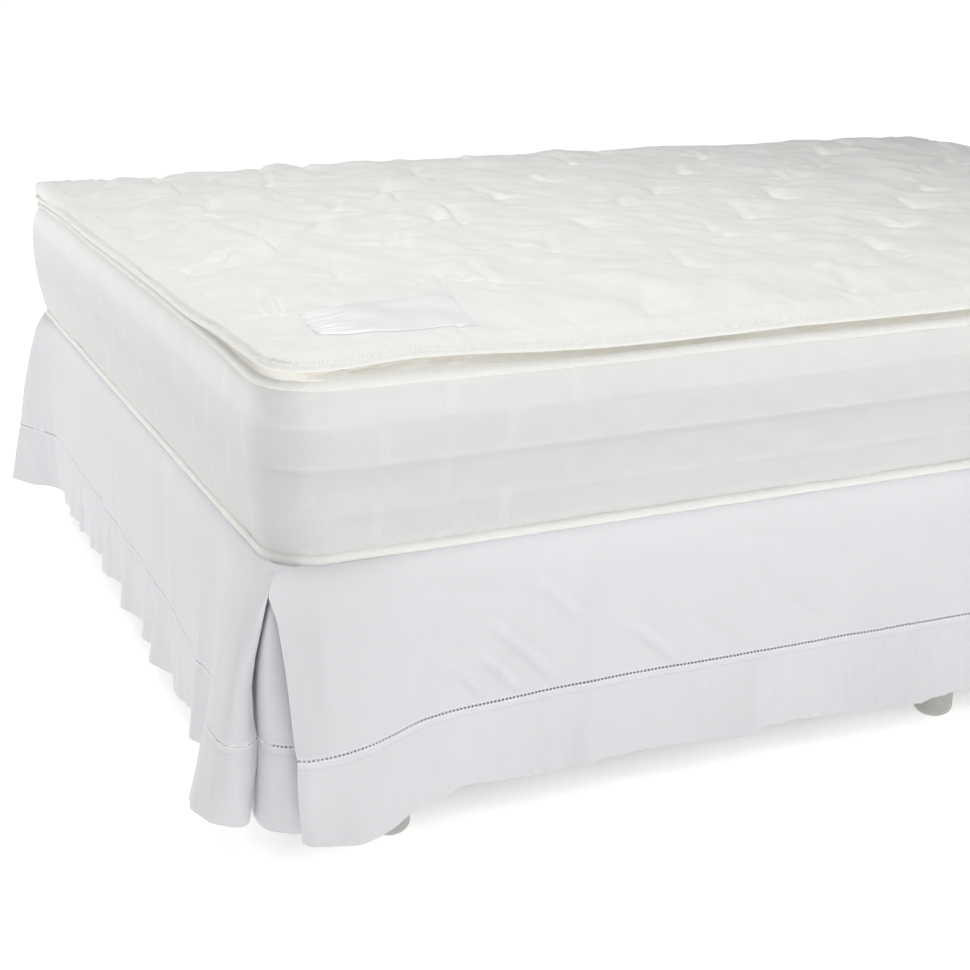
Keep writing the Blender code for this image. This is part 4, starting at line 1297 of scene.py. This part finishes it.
def pillow_top(ticking, gusset):
    """Quilted pad: a crowned, tufted top, a stitched edge, and a crumpled gusset between the two tapes."""
    def stations(length, count, bias):
        share = np.linspace(0.0, 1.0, count)
        return length * (share + bias * share * (share - 1))
    x, y = np.meshgrid(stations(BED_LENGTH, 352, 0.45), stations(BED_WIDTH, 256, 0.35))
    rows, columns = x.shape
    out = PILLOW_EDGE_OUT + CORNER_BULGE * hump(np.hypot(x, y - BED_WIDTH), 0.20)
    plan_x, plan_y = rounded_plan(x, y, out, PILLOW_CORNERS)
    points = [bed(plan_x, plan_y, top_height(x, y)).reshape(-1, 3)]
    plans = [np.stack((x, y), axis=-1).reshape(-1, 2)]
    faces = [tuple(face) for face in grid_faces(rows, columns)]
    upper = grid_edge(rows, columns)
    rim_x, rim_y = x.ravel()[upper], y.ravel()[upper]
    gusset_from, start = len(faces) + len(upper), rows * columns
    after = np.roll(np.arange(len(upper)), -1)
    for ring_x, ring_y, height, level in gusset_rings(rim_x, rim_y):
        points.append(bed(ring_x, ring_y, height))
        # The level in the gusset's plan drives its painted shade under the edge tape.
        plans.append(np.stack((rim_x + rim_y, np.full(len(rim_x), 0.03 * level)), axis=-1))
        lower = start + np.arange(len(upper))
        faces += [tuple(face) for face in np.stack((lower, lower[after], upper[after], upper), axis=-1)]
        upper, start = lower, start + len(lower)
    gusset_to = len(faces)
    faces.append(tuple(upper[::-1]))
    made = piece("pillow_top_pad", (np.concatenate(points), faces, np.concatenate(plans)), ticking)
    made.data.materials.append(gusset)
    for number in range(gusset_from, gusset_to):
        made.data.polygons[number].material_index = 1
    return made


def blank_label(satin):
    """A blank label on the pillow top near the foot corner, gathered at its left end."""
    u, v = np.meshgrid(np.linspace(0.0, 1.0, 90), np.linspace(0.0, 1.0, 56))
    near_left, near_right, far_right, far_left = (np.array(corner) for corner in LABEL_CORNERS)
    low = near_left + u[..., None] * (near_right - near_left)
    high = far_left + u[..., None] * (far_right - far_left)
    spot = low + v[..., None] * (high - low)
    bow = 0.006 * np.sin(np.pi * u)
    x, y = spot[..., 0], spot[..., 1] - bow * (1 - v) + 0.5 * bow * v
    gathers = 0.0011 * np.sin(2 * np.pi * (6.5 * v + 0.5 * u + 0.3 * soft_noise(u * 3, v * 6, 71)))
    gathers = gathers * (1 - smooth_step(u, 0.05, 0.42)) + 0.0005 * soft_noise(u * 5, v * 4, 72)
    edge = np.minimum(np.minimum(u, 1 - u) * 0.20, np.minimum(v, 1 - v) * 0.12)
    lift = 0.0007 + (gathers + 0.0013) * smooth_step(edge, 0.0, 0.006)
    grid = bed(x, y, top_height(x, y) + lift)
    flat = np.stack((u * LABEL_SIZE[0], v * LABEL_SIZE[1]), axis=-1)
    made = piece("blank_label", shell(grid, flat, 0.0005, 1), satin)


def edge_tapes(tape, thread):
    """The bottom tape, the border's cord and the pillow top's edge tape, with their stitches."""
    level, even = (((-4.0, value), (4.0, value)) for value in (0.0, 1.0))
    cord = round_section(CORD_OUT, CORD_RADIUS)
    pillow_edge = round_section(PILLOW_TAPE_OUT, PILLOW_TAPE_RADIUS)
    bands = (
        ("bottom_edge_tape", "bottom_tape", BOTTOM_TAPE_SECTION, CORNERS_LOW, level, even),
        ("border_edge_cord", "border_cord", cord, CORNERS_HIGH, CORD_HEIGHTS, CORD_SWELLS),
        ("pillow_edge_tape", "pillow_tape", pillow_edge, PILLOW_CORNERS, TAPE_HEIGHTS, even),
    )
    for name, solid, section, corners, heights, swell in bands:
        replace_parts(piece(name, edge_band(section, corners, heights, swell), tape), solid)
    sewn = (
        ("bottom_tape_stitches", CORNERS_LOW, level,
         0.0052, (0.0018, 0.0088), (0.0006, 0.0124), 0.0030, 0.0004),
        ("border_cord_stitches", CORNERS_HIGH, CORD_HEIGHTS,
         0.0052, (CORD_OUT + 0.0061, -0.0028), (CORD_OUT + 0.0040, -0.0056), 0.0035, 0.0005),
        ("pillow_tape_stitches", PILLOW_CORNERS, TAPE_HEIGHTS,
         0.0048, (PILLOW_TAPE_OUT + 0.0046, 0.0036), (PILLOW_TAPE_OUT - 0.0035, 0.0082), 0.0042, 0.0006),
    )
    for name, corners, heights, pitch, start, end, lean, radius in sewn:
        piece(name, rim_stitches(corners, heights, pitch, start, end, lean, radius), thread)


def mattress(ticking, border, gusset, tape, thread, satin):
    body = piece("mattress_border", mattress_border(), border)
    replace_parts(body, "mattress_body")
    pad = pillow_top(ticking, gusset)
    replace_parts(pad, "pillow_top")
    blank_label(satin)
    edge_tapes(tape, thread)


# ------------------------------------------------------------------------------ base and feet
def foot_shape(x, y):
    """A moulded plastic foot that stands at a place on the floor."""
    flat = FOOT_RADIUS - GLIDE_ROUND
    glide = [(flat + GLIDE_ROUND * math.sin(angle), GLIDE_ROUND * (1 - math.cos(angle)))
             for angle in np.linspace(0.0, math.pi / 2, 9)]
    radii, heights = np.array((*glide, *FOOT_PROFILE)).T
    turns = np.linspace(0.0, 2 * math.pi, 64, endpoint=False)
    across, up = np.outer(radii, np.cos(turns)), np.outer(radii, np.sin(turns))
    grid = np.stack(np.broadcast_arrays(x + across, y + up, heights[:, None]), axis=-1)
    plan = np.stack(np.meshgrid(turns * FOOT_RADIUS, heights), axis=-1)
    return ring_solid(grid, plan)


def feet(plastic):
    for number in range(1, 7):
        low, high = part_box(f"bed_foot_{number}")
        x, y = (low[0] + high[0]) / 2, (low[1] + high[1]) / 2
        made = piece(f"base_foot_{number}", foot_shape(x, y), plastic, smooth_degrees=30)
        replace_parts(made, f"bed_foot_{number}")


def dress_base(cover):
    """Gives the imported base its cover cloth."""
    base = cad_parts["bed_base"]
    base.data.materials.clear()
    base.data.materials.append(cover)


# ------------------------------------------------------------------------------ studio
def studio(floor_finish):
    """A wide glowing floor, an even light from all round, and the area lamps."""
    turns = np.linspace(0, 2 * math.pi, 96, endpoint=False)
    edge = [(FLOOR_RADIUS * math.cos(turn), FLOOR_RADIUS * math.sin(turn), 0.0) for turn in turns]
    mesh = bpy.data.meshes.new("floor")
    mesh.from_pydata(edge, [], [tuple(range(len(edge)))])
    mesh.materials.append(floor_finish)
    floor = bpy.data.objects.new("floor", mesh)
    bpy.context.scene.collection.objects.link(floor)
    world = bpy.data.worlds.new("studio")
    world.use_nodes = True
    world.node_tree.nodes["Background"].inputs["Color"].default_value = (1.0, 1.0, 1.0, 1.0)
    world.node_tree.nodes["Background"].inputs["Strength"].default_value = WORLD_GLOW
    bpy.context.scene.world = world
    for name, place, size, power in LAMPS:
        data = bpy.data.lights.new(name, "AREA")
        data.shape = "RECTANGLE"
        data.size, data.size_y = size
        data.energy = power
        lamp = bpy.data.objects.new(name, data)
        lamp.location = place
        lamp.rotation_euler = (Vector(LAMP_AIM) - Vector(place)).to_track_quat("-Z", "Y").to_euler()
        bpy.context.scene.collection.objects.link(lamp)
    bpy.context.scene.view_settings.view_transform = "Standard"


def camera():
    data = bpy.data.cameras.new("camera")
    data.sensor_fit = "HORIZONTAL"
    data.sensor_width = SENSOR
    data.lens = CAMERA_LENS
    data.clip_end = 200.0
    made = bpy.data.objects.new("camera", data)
    aim = Vector(CAMERA_AIM).normalized()
    right = aim.cross(Vector((0, 0, 1))).normalized()
    above = right.cross(aim)
    turn = Matrix((right, above, -aim)).transposed()
    made.matrix_world = Matrix.Translation(Vector(CORNER) + Vector(CAMERA_PLACE)) @ turn.to_4x4()
    bpy.context.scene.collection.objects.link(made)
    bpy.context.scene.camera = made


def main():
    bed_skirt(skirt_material())
    mattress(top_material(), border_material(), gusset_material(), tape_material(), thread_material(),
             label_material())
    dress_base(base_material())
    feet(foot_material())
    studio(floor_material())
    camera()


main()
